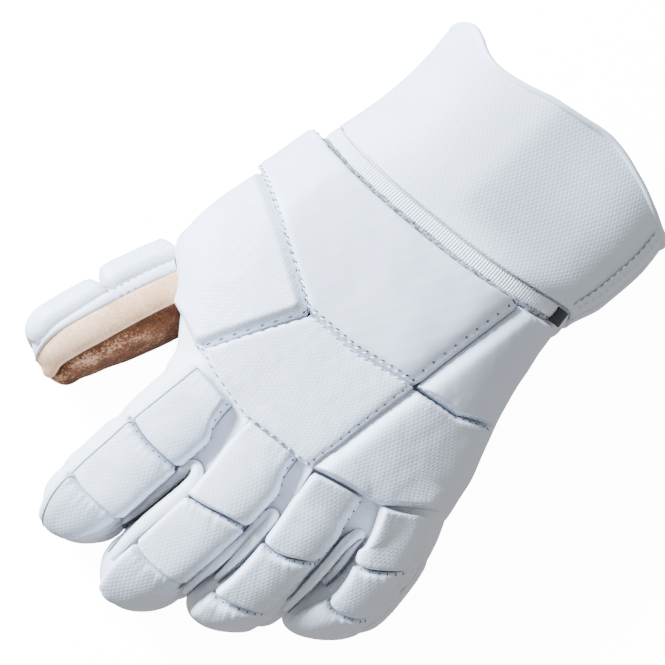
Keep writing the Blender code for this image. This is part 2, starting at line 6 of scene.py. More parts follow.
import bpy
import numpy as np
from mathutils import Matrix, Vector


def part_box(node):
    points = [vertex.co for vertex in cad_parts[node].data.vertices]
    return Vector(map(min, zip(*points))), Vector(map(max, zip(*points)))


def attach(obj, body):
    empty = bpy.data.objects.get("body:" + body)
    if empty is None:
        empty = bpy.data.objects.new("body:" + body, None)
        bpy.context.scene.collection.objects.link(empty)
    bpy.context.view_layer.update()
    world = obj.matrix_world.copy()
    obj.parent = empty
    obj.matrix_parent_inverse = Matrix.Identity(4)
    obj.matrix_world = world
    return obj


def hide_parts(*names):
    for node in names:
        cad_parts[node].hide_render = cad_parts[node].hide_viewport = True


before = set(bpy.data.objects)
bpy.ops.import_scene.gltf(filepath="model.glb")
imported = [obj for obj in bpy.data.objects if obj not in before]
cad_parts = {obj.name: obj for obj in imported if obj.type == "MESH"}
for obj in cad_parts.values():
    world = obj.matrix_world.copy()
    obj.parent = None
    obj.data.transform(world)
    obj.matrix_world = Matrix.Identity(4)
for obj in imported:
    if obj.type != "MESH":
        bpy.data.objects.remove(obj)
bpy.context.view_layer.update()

MM = 0.001

# Driving sizes in millimetres, in the glove's own frame before it was centred
HAND_LENGTH = 160.0
HAND_WIDTH = 162.0
HAND_DEPTH = 70.0
WRIST_Y = 80.0
KNUCKLE_HEIGHT = 40.0
FINGER_LENGTH = 110.0
FINGER_WIDTH = 40.0
FINGER_DEPTH = 31.0
THUMB_LENGTH = 103.0
THUMB_WIDTH = 33.0
THUMB_DEPTH = 42.0
LEATHER = 2.0
SUEDE = 2.0
GAP = 0.3
CUFF_LENGTH = 60.0
CUFF_WIDTH = 138.0
CUFF_DEPTH = 86.0
BAND_WIDTH = 8.0
BAND_THICK = 2.4
BAND_DIP = 14.0
BAND_Y = 67.0
HAND_PAD = 11.0
FINGER_PAD = 10.0
THUMB_PAD = 11.0
THUMB_TIP_PAD = 8.5
PAD_TO_BAND = 1.4
BAND_TO_CUFF = 1.3
THUMB_SUEDE_START = 0.36
THUMB_SUEDE_SLANT = 0.14
THUMB_SUEDE_END = 0.997
THUMB_SEAM = 94.0
ELASTIC_END_ANGLE = 12.0
ELASTIC_END_SPAN = 9.0
ELASTIC_END_THICK = 1.2
HAND_EDGE = 0.985
SEAM_DROP = 0.80
SIDE_LEATHER = 1.8
HAND_SQUARE = 2.6
CUFF_SQUARE = 2.6
DIGIT_SQUARE = 2.7
DOME_START = 0.84
BLUNT = 0.35
REST = SUEDE + GAP

# Departures of the glove after wear from its plain solids: lengths in millimetres, angles, shares and a count
SEAM_MARGIN = 0.15
CUFF_LEAN = 6.5
CUFF_SPREAD = 3.4
CUFF_WAIST = 2.6
CUFF_SWELL = 0.6
HEM_ANGLES = (18.0, 10.0)
HEM_PITCH = 3.4
BAND_UNDER = 0.12
FLAT_MOST = 4.0
PAD_BOW = 2.6
PAD_HOLD = 12.0
TUBE_BLEND = 5.0
FINGER_BLEND = 4.0
NORMAL_ROUNDS = 14
CREASE_DEPTH = 0.9
CREASE_WIDTH = 0.028
WEB_THICK = 3.0
WEB_LIFT = 2.8
WEB_SINK = 3.0
WEB_CROWN = 3.6
WEB_MORE = 0.8
FOLD_PITCH = 26.0
FOLD_HEIGHT = 1.0
# Pitch of the leather's embossed dots and of the elastic's cords, in metres
GRAIN_PITCH = 0.0020
RIB_PITCH = 0.00135

# Widths and thicknesses of the strips that lie on the glove, in millimetres
CORD_SIZE = (1.5, 0.7)
SEWN_LINE_SIZE = (0.7, 0.3)
THUMB_FOLD_SIZE = (2.6, 0.8)
WEB_LINE_SIZE = (0.8, 0.9)
FOLD_LINE_SIZE = (0.6, 0.4)
LIP_SIZE = (3.2, 1.7)
HEM_LINE_SIZE = (0.5, 0.2)
FRAYED_SHADOW_SIZE = (2.7, 0.8)
FOLD_THICK = 1.8
GAP_STRIP_THICK = 0.8
GUSSET_THICK = 1.2

# Stitches, cords and puckers at the seams, and the roll and lip of the cuff's rim, in millimetres
CORD_SINK = 0.9
STITCH_WANDER = 0.25
EDGING_PITCH = 3.4
PUCKER_PITCH = 4.6
PUCKER_START = 0.7
PUCKER_REACH = 3.2
RIM_ROLL = 0.9
LIP_INSET = 1.3

# The camera: where it looks in the glove's frame, how far off it is, its direction and its lens
CAMERA_AZIMUTH = 41.0
CAMERA_ELEVATION = 72.0
CAMERA_DISTANCE = 1100.0
CAMERA_TARGET = (0.0, 0.0, 45.0)
CAMERA_LENS = 135.0
CAMERA_SENSOR = 36.0
# The lamp's place and width in metres, colour and power, and the sky's and the floor's glow
KEY_PLACE = (-1.85, -0.10, 1.10)
KEY_SIZE = 0.9
KEY_COLOUR = (0.74, 0.85, 1.0)
KEY_POWER = 365.0
SKY_COLOUR = (0.955, 0.98, 1.0, 1.0)
SKY_STRENGTH = 0.56
FLOOR_GLOW = 13.0
# Radius and height of the floor's rings, in metres
FLOOR_RINGS = ((0.6, 0.0), (3.0, 0.0), (3.8, 0.5), (4.2, 2.5))

WHITE = (0.755, 0.80, 0.885)
SMOOTH_WHITE = (0.765, 0.81, 0.915)
SOFT_WHITE = (0.80, 0.81, 0.855)
TAN = (0.74, 0.56, 0.43)
THREAD = (0.80, 0.80, 0.82)
BLACK = (0.012, 0.012, 0.014)

# Sections of the hand from the wrist: the place along it, its left and right edges, middle, rise and
# drop as shares of its length, width and depth, and how far its back leans to the little finger
HAND_ROWS = [
    (0.000, -0.358, 0.432, 0.55, 0.47, 0.58, 0.00),
    (0.190, -0.401, 0.448, 0.54, 0.46, 0.57, 0.03),
    (0.345, -0.438, 0.474, 0.53, 0.45, 0.52, 0.07),
    (0.470, -0.469, 0.508, 0.52, 0.43, 0.46, 0.10),
    (0.575, -0.463, 0.537, 0.51, 0.41, 0.41, 0.13),
    (0.700, -0.370, 0.549, 0.50, 0.37, 0.36, 0.16),
    (0.812, -0.290, 0.531, 0.49, 0.32, 0.30, 0.18),
    (0.912, -0.280, 0.469, 0.48, 0.27, 0.25, 0.18),
    (1.000, -0.247, 0.358, 0.46, 0.16, 0.15, 0.18),
]
# The same columns for the cuff, from its rim
CUFF_ROWS = [
    (0.00, -0.390, 0.590, 0.50, 0.50, 0.57, 0.0),
    (0.30, -0.400, 0.595, 0.49, 0.50, 0.56, 0.0),
    (0.65, -0.425, 0.575, 0.47, 0.48, 0.55, 0.0),
    (1.00, -0.454, 0.547, 0.45, 0.44, 0.54, 0.0),
]
# Angles round the cuff and its length at each, as shares of the named length
RIM_ROWS = [
    (0, 0.905), (14, 0.875), (32, 0.910), (50, 0.980), (72, 1.055), (86, 1.000), (98, 0.925),
    (110, 0.910), (120, 0.955), (130, 1.050), (140, 1.110), (152, 1.115), (170, 1.110), (190, 1.140),
    (270, 1.000), (345, 0.960), (360, 0.905),
]

# Fingers and thumb: their roots and sizes, and sections from the root. A section has its place along
# and its shift aside as shares of the reach, then shares of the knuckles' height, width and depth
Digit = namedtuple("Digit", "name root_x root_y reach width depth rows")
DIGITS = [
    Digit("index", -0.130 * HAND_WIDTH, WRIST_Y - 0.750 * HAND_LENGTH, 0.941 * FINGER_LENGTH,
          0.925 * FINGER_WIDTH, FINGER_DEPTH,
          [(0.00, 0.000, 1.00, 1.00, 1.08), (0.16, -0.028, 0.97, 1.00, 1.05),
           (0.45, -0.060, 0.86, 1.00, 1.00), (0.73, -0.112, 0.64, 0.98, 0.94),
           (1.00, -0.165, 0.38, 0.88, 0.84)]),
    Digit("middle", 0.086 * HAND_WIDTH, WRIST_Y - 0.750 * HAND_LENGTH, FINGER_LENGTH,
          0.900 * FINGER_WIDTH, FINGER_DEPTH,
          [(0.00, -0.004, 1.00, 0.93, 1.08), (0.14, -0.006, 0.97, 0.93, 1.05),
           (0.46, -0.008, 0.87, 0.95, 1.00), (0.76, -0.067, 0.64, 0.97, 0.94),
           (1.00, -0.112, 0.38, 0.90, 0.84)]),
    Digit("ring", 0.287 * HAND_WIDTH, WRIST_Y - 0.725 * HAND_LENGTH, 0.873 * FINGER_LENGTH,
          0.850 * FINGER_WIDTH, FINGER_DEPTH,
          [(0.00, 0.000, 0.98, 0.92, 1.05), (0.16, 0.000, 0.94, 0.93, 1.02),
           (0.50, 0.008, 0.80, 0.93, 0.97), (0.78, -0.026, 0.58, 0.90, 0.92),
           (1.00, -0.124, 0.36, 0.86, 0.84)]),
    Digit("little", 0.438 * HAND_WIDTH, WRIST_Y - 0.6125 * HAND_LENGTH, 0.818 * FINGER_LENGTH,
          0.750 * FINGER_WIDTH, 0.903 * FINGER_DEPTH,
          [(0.00, 0.000, 0.90, 0.90, 0.90), (0.24, 0.078, 0.87, 0.97, 1.00),
           (0.49, 0.116, 0.72, 0.95, 1.00), (0.73, 0.106, 0.50, 0.90, 0.94),
           (1.00, -0.036, 0.32, 0.80, 0.84)]),
]
BY_NAME = {digit.name: digit for digit in DIGITS}
THUMB = Digit("thumb", -0.296 * HAND_WIDTH, WRIST_Y - 0.425 * HAND_LENGTH, THUMB_LENGTH,
              THUMB_WIDTH, THUMB_DEPTH,
              [(0.00, 0.000, 0.82, 1.00, 0.90), (0.25, -0.132, 0.74, 1.00, 0.97),
               (0.53, -0.264, 0.64, 1.00, 1.00), (0.80, -0.377, 0.55, 0.96, 0.96),
               (1.00, -0.462, 0.50, 0.84, 0.84)])

Section = namedtuple("Section", "x y z half rise drop lean")
Tube = namedtuple("Tube", "section_at root_y reach square")

# Pads on the back of the hand: their wrist and finger edges as shares across and along the hand
# (None is the edge of the wrist elastic), then in millimetres the widths of the bevels and the
# heights of the seams along the wrist edge, the finger edge, the thumb side and the other side, the
# share of its thickness that a pad loses from its thumb side to the other and its grain, how softly
# its faces meet, how full its bevels are, how far it stands straight up and its corners' radius
HandPad = namedtuple("HandPad", "name wrist_edge front_edge bevels lows tilt grain "
                                "crease puff upright corner")
HAND_PADS = [
    HandPad("back_pad", [(-0.375 + 0.720 * k / 8, None) for k in range(9)],
            [(-0.430, 0.284), (-0.233, 0.411), (-0.037, 0.537), (0.120, 0.536), (0.287, 0.504)],
            (3.5, 4.5, 8.0, 11.0), (4.0, 6.5, 3.0, 7.0), 0.05, "smooth", 2.2, 1.9, 0.0, 3.0),
    HandPad("side_pad", [(0.345, None), (0.390, None), (0.436, None)],
            [(0.287, 0.504), (0.410, 0.483), (0.520, 0.410)],
            (4.0, 2.5, 12.0, 7.0), (3.0, 1.0, 6.0, 1.0), 0.80, "smooth", 2.2, 1.35, 0.0, 1.5),
    HandPad("thumb_base_pad", [(-0.430, 0.284), (-0.233, 0.411), (-0.037, 0.537)],
            [(-0.495, 0.590), (-0.354, 0.721), (-0.213, 0.803)],
            (6.0, 4.0, 11.0, 5.0), (6.5, 4.0, 5.0, 6.5), -0.10, "pebbled", 0.7, 1.1, 0.6, 5.5),
    HandPad("knuckle_pad", [(-0.037, 0.537), (0.120, 0.536), (0.287, 0.504)],
            [(-0.213, 0.803), (0.005, 0.852), (0.221, 0.841)],
            (4.0, 3.0, 4.5, 9.0), (6.5, 5.5, 6.5, 6.8), 0.10, "pebbled", 2.2, 1.9, 0.0, 1.5),
    HandPad("outer_knuckle_pad", [(0.287, 0.504), (0.410, 0.483), (0.520, 0.410)],
            [(0.221, 0.841), (0.420, 0.795), (0.548, 0.690)],
            (4.0, 2.5, 12.0, 9.0), (2.5, 1.0, 6.0, 1.0), 0.90, "pebbled", 2.2, 1.35, 0.0, 1.5),
]
# The same for each finger's three pads: the bevel and the seam's height on the thumb side, the
# softness, the fullness and the tilts of the first two pads and of the one at the tip
FingerPads = namedtuple("FingerPads", "bevel low crease puff tilt tip_tilt")
FINGER_PADS = {
    "index": FingerPads(3.5, 2.5, 2.0, 1.9, -0.45, 0.35),
    "middle": FingerPads(3.5, 2.5, 2.0, 1.9, 0.10, 0.60),
    "ring": FingerPads(5.0, 2.5, 2.0, 1.5, 0.80, 0.45),
    "little": FingerPads(7.0, 5.0, 3.0, 1.7, 1.00, 0.50),
}
TIP_CREASE = 3.0

# Rows of stitches beside the pads' seams: how far inside the edge and how far apart, their half
# length, width and height and how far they stand out, in millimetres, and their turn from the seam
StitchRow = namedtuple("StitchRow", "node side kind inset pitch size lift turn")
HOLE = (0.62, 0.52, 0.34)
DASH = (1.15, 0.34, 0.30)
THREAD_DASH = (1.30, 0.42, 0.40)
TICK = (0.9, 0.30, 0.25)
STITCH_ROWS = [
    StitchRow("back_pad", "other side", "holes", 1.1, 5.7, HOLE, 0.0, 0.0),
    StitchRow("back_pad", "other side", "thread", 0.5, 5.7, THREAD_DASH, 0.3, 10.0),
    StitchRow("back_pad", "finger edge", "holes", 1.2, 3.9, DASH, 0.0, 20.0),
    StitchRow("back_pad", "finger edge", "thread", 0.5, 3.9, THREAD_DASH, 0.5, 24.0),
    StitchRow("back_pad", "wrist edge", "holes", 1.0, 6.5, (1.6, 0.55, 0.4), 0.0, 0.1),
    StitchRow("thumb_base_pad", "wrist edge", "holes", 0.9, 4.4, DASH, 0.0, 15.0),
    StitchRow("thumb_base_pad", "other side", "holes", 1.0, 6.0, DASH, 0.0, 10.0),
    StitchRow("knuckle_pad", "wrist edge", "thread", 0.9, 3.9, THREAD_DASH, 0.3, 24.0),
    StitchRow("knuckle_pad", "thumb side", "holes", 0.9, 5.0, DASH, 0.0, 0.0),
    StitchRow("knuckle_pad", "other side", "holes", 1.2, 4.7, HOLE, 0.0, 0.0),
    StitchRow("knuckle_pad", "finger edge", "holes", 0.9, 4.6, DASH, 0.0, 12.0),
    StitchRow("knuckle_pad", "finger edge", "thread", 0.5, 4.6, THREAD_DASH, 0.3, 20.0),
    StitchRow("side_pad", "finger edge", "thread", 1.0, 3.2, THREAD_DASH, 0.1, 0.0),
    StitchRow("outer_knuckle_pad", "wrist edge", "holes", 1.0, 3.4, DASH, 0.0, 0.0),
]
STITCH_ROWS += [StitchRow(name + "_pad_1", "other side", "holes", 0.9, 4.2, HOLE, 0.0, 0.0)
                for name in ("index", "middle", "ring")]
STITCH_ROWS += [StitchRow(name, "wrist edge", "holes", 0.7, 3.7, TICK, 0.0, 80.0)
                for name in ("index_pad_2", "middle_pad_2", "ring_pad_2", "ring_pad_3", "little_pad_2",
                             "little_pad_3")]

SEAM_CORDS = [("back_pad", "other side"), ("back_pad", "finger edge"), ("back_pad", "wrist edge"),
              ("thumb_base_pad", "other side"), ("knuckle_pad", "other side"), ("knuckle_pad", "finger edge")]
SEWN_LINES = [("index_pad_1", "thumb side", 4.2), ("index_pad_2", "thumb side", 3.6),
              ("index_pad_3", "thumb side", 3.6)]

# Creases across each finger: where they meet the pads' thumb side and other side and how far they
# bow toward the tip between, as shares of the reach, and both sides as shares of the half width
Crease = namedtuple("Crease", "thumb_side other_side bow first_q last_q")
CREASES = {
    "index": [Crease(0.124, 0.150, 0.000, -0.50, 0.86), Crease(0.443, 0.477, 0.027, -0.64, 0.85),
              Crease(0.763, 0.778, 0.024, -0.66, 0.87), Crease(0.975, 0.975, 0.010, -0.60, 0.80)],
    "middle": [Crease(0.140, 0.131, 0.003, -0.65, 0.91), Crease(0.520, 0.458, 0.010, -0.50, 0.87),
               Crease(0.768, 0.772, 0.026, -0.43, 0.90), Crease(0.972, 0.972, 0.010, -0.50, 0.80)],
    "ring": [Crease(0.196, 0.138, 0.001, -0.59, 0.92), Crease(0.559, 0.470, 0.042, -0.42, 0.90),
             Crease(0.845, 0.775, 0.035, -0.35, 0.90), Crease(0.975, 0.975, 0.000, -0.40, 0.80)],
    "little": [Crease(0.310, 0.198, 0.014, -0.85, 0.70), Crease(0.572, 0.453, 0.030, -0.42, 0.84),
               Crease(0.768, 0.715, 0.055, -0.24, 0.90), Crease(0.970, 0.965, 0.000, -0.30, 0.75)],
}
# Thumb: its two pads' ends as shares of its reach, and from its root to its tip the angles of the
# stitched edge of the pads and of the suede's fold along it
THUMB_LINES = [0.275, 0.600, 0.960]
THUMB_ROWS = [
    (0.00, 108.0, 58.0), (0.50, 112.0, 60.0), (0.80, 105.0, 56.5), (0.90, 101.0, 52.0),
    (0.955, 99.0, 38.0), (0.985, 98.0, 0.0), (1.00, 97.0, -20.0),
]
THUMB_PAD_TO = 236.0
THUMB_UNDER = -98.0
THUMB_TIP_PUSH = 3.2
THUMB_DRAWN = 1.8

# Leather loops round the crotches between the fingers: where their two legs lie along both fingers,
# as shares of the reach, and how far up the fingers' sides, as shares of the half width; how far the
# loop rises toward the wrist and its widths at the one leg, at the crown and at the other, in mm
Web = namedtuple("Web", "name first second first_span second_span first_q second_q rise widths panel")
WEBS = [
    Web("index_middle", "index", "middle", (0.50, 0.79), (0.475, 0.88), 0.92, -0.60, 6.0,
        (5.4, 5.4, 7.4), True),
    Web("middle_ring", "middle", "ring", (0.46, 0.80), (0.51, 0.82), 0.94, -0.53, 7.5,
        (4.6, 5.0, 4.6), True),
    Web("ring_little", "ring", "little", (0.41, 0.72), (0.52, 0.74), 0.96, -0.70, 7.5,
        (4.4, 4.8, 4.4), False),
]
# Long folds down the fingers' other sides: from where to where along the finger, as shares of the
# reach, their angle round it at both ends, and their width in millimetres
Fold = namedtuple("Fold", "digit start end first_angle last_angle width")
FOLDS = [
    Fold("middle", 0.50, 0.84, -2.0, -8.0, 4.0),
    Fold("ring", 0.46, 0.84, 0.0, -8.0, 4.0),
    Fold("little", 0.30, 0.82, 12.0, 2.0, 4.0),
]


def on_curve(rows, along):
    """Columns of a table at places between its rows, on smooth curves through them."""
    table = np.array(rows, float)
    places = table[:, 0]
    along = np.clip(np.asarray(along, float), places[0], places[-1])
    index = np.clip(np.searchsorted(places, along) - 1, 0, len(places) - 2)
    before = np.maximum(np.arange(len(places)) - 1, 0)
    after = np.minimum(np.arange(len(places)) + 1, len(places) - 1)
    slopes = (table[after] - table[before]) / (places[after] - places[before])[:, None]
    step = (places[index + 1] - places[index])[..., None]
    t = (along - places[index])[..., None] / step
    return ((2 * t ** 3 - 3 * t ** 2 + 1) * table[index]
            + (t ** 3 - 2 * t ** 2 + t) * slopes[index] * step
            + (3 * t ** 2 - 2 * t ** 3) * table[index + 1]
            + (t ** 3 - t ** 2) * slopes[index + 1] * step)


def dome(along):
    """Share of the full section that is left where a closed end rounds off."""
    past = np.maximum((np.asarray(along, float) - DOME_START) / (1.0 - DOME_START), 0.0)
    return np.sqrt(np.maximum(1.0 - past ** 2, 0.0))


def columns_at(rows, along):
    """A table's columns at places between its rows, one array for each."""
    return np.moveaxis(on_curve(rows, along), -1, 0)


def hand_section(along):
    at, left, right, middle, rise, drop, lean = columns_at(HAND_ROWS, along)
    round_off = np.maximum(dome(along), BLUNT)
    return Section((left + right) / 2 * HAND_WIDTH, WRIST_Y - at * HAND_LENGTH, middle * HAND_DEPTH,
                   (right - left) / 2 * HAND_WIDTH * round_off, rise * HAND_DEPTH * round_off,
                   drop * HAND_DEPTH * round_off, lean)


def cuff_section(along):
    at, left, right, middle, rise, drop, lean = columns_at(CUFF_ROWS, along)
    y = BAND_Y + BAND_WIDTH + BAND_TO_CUFF + (1 - at) * CUFF_LENGTH
    return Section((left + right) / 2 * CUFF_WIDTH, y, middle * CUFF_DEPTH,
                   (right - left) / 2 * CUFF_WIDTH, rise * CUFF_DEPTH, drop * CUFF_DEPTH, lean)


def digit_section(digit, along):
    at, aside, height, width, depth = columns_at(digit.rows, along)
    round_off = dome(along)
    half_depth = depth * digit.depth / 2 * round_off
    return Section(digit.root_x + aside * digit.reach, digit.root_y - at * digit.reach,
                   height * KNUCKLE_HEIGHT, width * digit.width / 2 * round_off,
                   half_depth, half_depth, np.zeros_like(half_depth))


def signed_power(value, power):
    return np.sign(value) * np.abs(value) ** power


def unit(vectors):
    return vectors / np.linalg.norm(vectors, axis=-1, keepdims=True)


def back_angle(q, square):
    """Angle on the back of a section at a share of its half width."""
    return np.degrees(np.arccos(signed_power(q, square / 2)))


def ring(section, angle, square, grow=0.0, floor=0.0):
    """Points of a section at angles from +X toward +Z, on a skin grown by some millimetres."""
    across = signed_power(np.cos(np.radians(angle)), 2 / square)
    height = signed_power(np.sin(np.radians(angle)), 2 / square)
    half = np.maximum(section.half + grow, 0.4)
    lift = np.where(height > 0, np.maximum(section.rise + grow, 0.4) * (1 - section.lean * across),
                    np.maximum(section.drop + grow, 0.4))
    x = section.x + half * across
    z = np.maximum(section.z + lift * height, floor - grow)
    return np.stack(np.broadcast_arrays(x, section.y, z), axis=-1)


def band_dip(angle):
    """How far the wrist line bows toward the fingers on the back of the hand."""
    return BAND_DIP * np.maximum(np.sin(np.radians(angle)), 0.0) ** 1.5


def hand_points(along, angle, grow=0.0):
    return ring(hand_section(along), angle, HAND_SQUARE, grow, REST)


def digit_points(digit, along, angle, grow=0.0):
    points = ring(digit_section(digit, along), angle, DIGIT_SQUARE, grow, REST)
    past = np.maximum((np.asarray(along, float) - DOME_START) / (1.0 - DOME_START), 0.0)
    points[..., 1] -= grow * past
    return points


def cuff_points(along, angle, grow=0.0):
    points = ring(cuff_section(along), angle, CUFF_SQUARE, grow, 0.0)
    points[..., 1] -= band_dip(angle) * along
    points[..., 1] += (on_curve(RIM_ROWS, np.mod(angle, 360.0))[..., 1] - 1.0) * CUFF_LENGTH * (1 - along)
    return points


def where_the_frame_is():
    """Shift from the tables' frame to the model's, from where the cuff lies in both."""
    along, angle = np.meshgrid(np.linspace(0, 1, 5), np.linspace(0, 360, 25), indexing="ij")
    low = cuff_points(along, angle).reshape(-1, 3).min(axis=0)
    return np.array(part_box("cuff")[0]) / MM - low


SHIFT = where_the_frame_is()


def soft_max(a, b, blend):
    share = np.clip(0.5 + 0.5 * (a - b) / blend, 0.0, 1.0)
    return b + (a - b) * share + blend * share * (1 - share)


def soft_min(a, b, blend):
    return -soft_max(-a, -b, blend)


def smooth_step(low, high, value):
    t = np.clip((value - low) / (high - low), 0.0, 1.0)
    return t * t * (3 - 2 * t)


def waves(points, size, seed):
    """Gentle irregular relief from -1 to 1, the same for the same points on every run."""
    steps = np.random.default_rng(seed)
    total = np.zeros(points.shape[:-1])
    for _ in range(7):
        direction = steps.normal(size=3)
        direction *= 2 * math.pi / (size * steps.uniform(0.7, 1.5) * np.linalg.norm(direction))
        total += np.sin(points @ direction + steps.uniform(0, 2 * math.pi))
    return total / 4.0


def even_angles(first, last, count, square, aspect=1.0):
    """Angles between two that cut a section's outline into equal lengths."""
    fine = np.linspace(first, last, 2000)
    x = signed_power(np.cos(np.radians(fine)), 2 / square) * aspect
    y = signed_power(np.sin(np.radians(fine)), 2 / square)
    length = np.concatenate([[0.0], np.cumsum(np.hypot(np.diff(x), np.diff(y)))])
    return np.interp(np.linspace(0, length[-1], count), length, fine)


# Meshes, materials and pieces


def add_object(name, data):
    obj = bpy.data.objects.new(name, data)
    bpy.context.scene.collection.objects.link(obj)
    return obj


def new_piece(name, points, faces, material, node="", slot="white_leather"):
    """Makes a mesh from points in the tables' frame, in millimetres, and hangs it on the glove."""
    mesh = bpy.data.meshes.new(name)
    points = (np.asarray(points, float).reshape(-1, 3) + SHIFT) * MM
    points[:, 2] = np.maximum(points[:, 2], 0.0)
    mesh.from_pydata(points.tolist(), [], [tuple(int(k) for k in face) for face in faces])
    mesh.validate()
    mesh.shade_smooth()
    obj = add_object(name, mesh)
    mesh.materials.append(material)
    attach(obj, "root")
    if node:
        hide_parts(node)
    return obj


def grid_faces(rows, columns, start=0, wrap=False, flip=False):
    faces = []
    last = columns if wrap else columns - 1
    for i in range(rows - 1):
        for j in range(last):
            a = start + i * columns + j
            b = start + i * columns + (j + 1) % columns
            face = (a, b, b + columns, a + columns)
            faces.append(face[::-1] if flip else face)
    return faces


def rim_of(rows, columns):
    """Indices round the edge of a grid, in order."""
    rim = list(range(columns))
    rim += [i * columns + columns - 1 for i in range(1, rows)]
    rim += [(rows - 1) * columns + j for j in reversed(range(columns - 1))]
    rim += [i * columns for i in reversed(range(1, rows - 1))]
    return rim


def run_along(points, axis):
    """Distances over a grid of points along one of its axes, from the grid's middle."""
    steps = np.linalg.norm(np.diff(points, axis=axis), axis=-1)
    run = np.insert(np.cumsum(steps, axis=axis), 0, 0.0, axis=axis)
    return run - run.take([run.shape[axis] // 2], axis=axis)


def store(obj, name, kind, key, values):
    """Stores values on a mesh's points for its material."""
    obj.data.attributes.new(name, kind, "POINT").data.foreach_set(key, values.ravel())


def lay_grain(obj, points, copies, straight=False):
    """Stores for a piece made of equal grids where its embossed dots lie, in metres over the leather."""
    run = run_along(points, 1)
    if straight:
        run = np.tile(run[len(run) // 2], (len(run), 1))
    places = np.stack([run, run_along(points, 0), np.zeros(points.shape[:2])], axis=-1)
    places = np.tile(places.reshape(-1, 3) * MM, (copies, 1))
    missing = len(obj.data.vertices) - len(places)
    store(obj, "grain_place", "FLOAT_VECTOR", "vector", np.concatenate([np.zeros((missing, 3)), places]))


def closed_patch(name, outer, inner, material, node="", slot="white_leather"):
    """Closed piece between an outer and an inner grid of points."""
    rows, columns = outer.shape[:2]
    size = rows * columns
    faces = grid_faces(rows, columns, 0, flip=True) + grid_faces(rows, columns, size)
    rim = rim_of(rows, columns)
    for k, a in enumerate(rim):
        b = rim[(k + 1) % len(rim)]
        faces.append((a, b, b + size, a + size))
    points = np.concatenate([outer.reshape(-1, 3), inner.reshape(-1, 3)])
    return new_piece(name, points, faces, material, node, slot)


def node_material(name, colour, roughness):
    material = bpy.data.materials.new(name)
    material.use_nodes = True
    tree = material.node_tree
    shader = tree.nodes["Principled BSDF"]
    shader.inputs["Base Color"].default_value = (*colour, 1.0)
    shader.inputs["Roughness"].default_value = roughness
    return material, tree, shader


def object_coordinates(tree):
    return tree.nodes.new("ShaderNodeTexCoord").outputs["Object"]


def texture(tree, kind, vector, scale, **settings):
    node = tree.nodes.new(kind)
    tree.links.new(vector, node.inputs["Vector"])
    node.inputs["Scale"].default_value = scale
    for key, value in settings.items():
        node.inputs[key].default_value = value
    return node


def bump(tree, height, distance, strength, below=None):
    node = tree.nodes.new("ShaderNodeBump")
    node.inputs["Distance"].default_value = distance
    node.inputs["Strength"].default_value = strength
    tree.links.new(height, node.inputs["Height"])
    if below is not None:
        tree.links.new(below, node.inputs["Normal"])
    return node.outputs["Normal"]


def colour_ramp(tree, value, stops):
    node = tree.nodes.new("ShaderNodeValToRGB")
    tree.links.new(value, node.inputs["Fac"])
    while len(node.color_ramp.elements) < len(stops):
        node.color_ramp.elements.new(0.5)
    for element, (place, colour) in zip(node.color_ramp.elements, stops):
        element.position = place
        element.color = (*colour, 1.0)
    return node.outputs["Color"]


def tinted(colour, share):
    return tuple(min(c * share, 1.0) for c in colour)


def math_node(tree, operation, *values):
    """Result of a maths node fed with sockets or numbers."""
    node = tree.nodes.new("ShaderNodeMath")
    node.operation = operation
    for socket, value in zip(node.inputs, values):
        if isinstance(value, (int, float)):
            socket.default_value = value
        else:
            tree.links.new(value, socket)
    return node.outputs["Value"]


def stored(tree, name, output):
    """Socket with the values that a mesh stores on its points."""
    node = tree.nodes.new("ShaderNodeAttribute")
    node.attribute_name = name
    return node.outputs[output]


def wave_along(tree, vector, direction):
    """Cosine of how far a place lies along a direction."""
    node = tree.nodes.new("ShaderNodeVectorMath")
    node.operation = "DOT_PRODUCT"
    tree.links.new(vector, node.inputs[0])
    node.inputs[1].default_value = direction
    return math_node(tree, "COSINE", node.outputs["Value"])


def embossed_dots(tree):
    """Rows of round dots in a honeycomb order, 1 on the dots and less than 0.4 between them."""
    place = stored(tree, "grain_place", "Vector")
    wave = 4 * math.pi / (math.sqrt(3) * GRAIN_PITCH)
    total = 0.0
    for x, y in ((0.866, 0.5), (-0.866, 0.5), (0.0, -1.0)):
        total = math_node(tree, "ADD", wave_along(tree, place, (x * wave, y * wave, 0.0)), total)
    return math_node(tree, "MULTIPLY_ADD", total, 1 / 4.5, 1.5 / 4.5)


def leather(name, colour, depth, roughness, shade=0.0):
    """White leather: a coated face embossed with small dots, faint creases and uneven tone, and darker
    between the dots by as much as shade says: painted shade in the grooves.
    """
    material, tree, shader = node_material(name, colour, roughness)
    place = object_coordinates(tree)
    dots = embossed_dots(tree)
    creases = texture(tree, "ShaderNodeTexNoise", place, 70.0, Detail=4.0, Roughness=0.5)
    pores = texture(tree, "ShaderNodeTexNoise", place, 2600.0, Detail=2.0)
    normal = bump(tree, dots, depth, 1.0)
    normal = bump(tree, creases.outputs["Fac"], 0.0008, 0.3, normal)
    normal = bump(tree, pores.outputs["Fac"], 0.00005, 0.4, normal)
    tree.links.new(normal, shader.inputs["Normal"])
    tone = texture(tree, "ShaderNodeTexNoise", place, 38.0, Detail=4.0)
    # Painted shade: the colour darkens between the embossed dots, where shade would fall in the grooves.
    mixed = math_node(tree, "MULTIPLY_ADD", dots, shade, tone.outputs["Fac"])
    stops = [(0.3, tinted(colour, 0.94)), (0.5, tinted(colour, 0.985)), (0.8, tinted(colour, 1.03))]
    tree.links.new(colour_ramp(tree, mixed, stops), shader.inputs["Base Color"])
    shader.inputs["Specular IOR Level"].default_value = 0.42
    return material


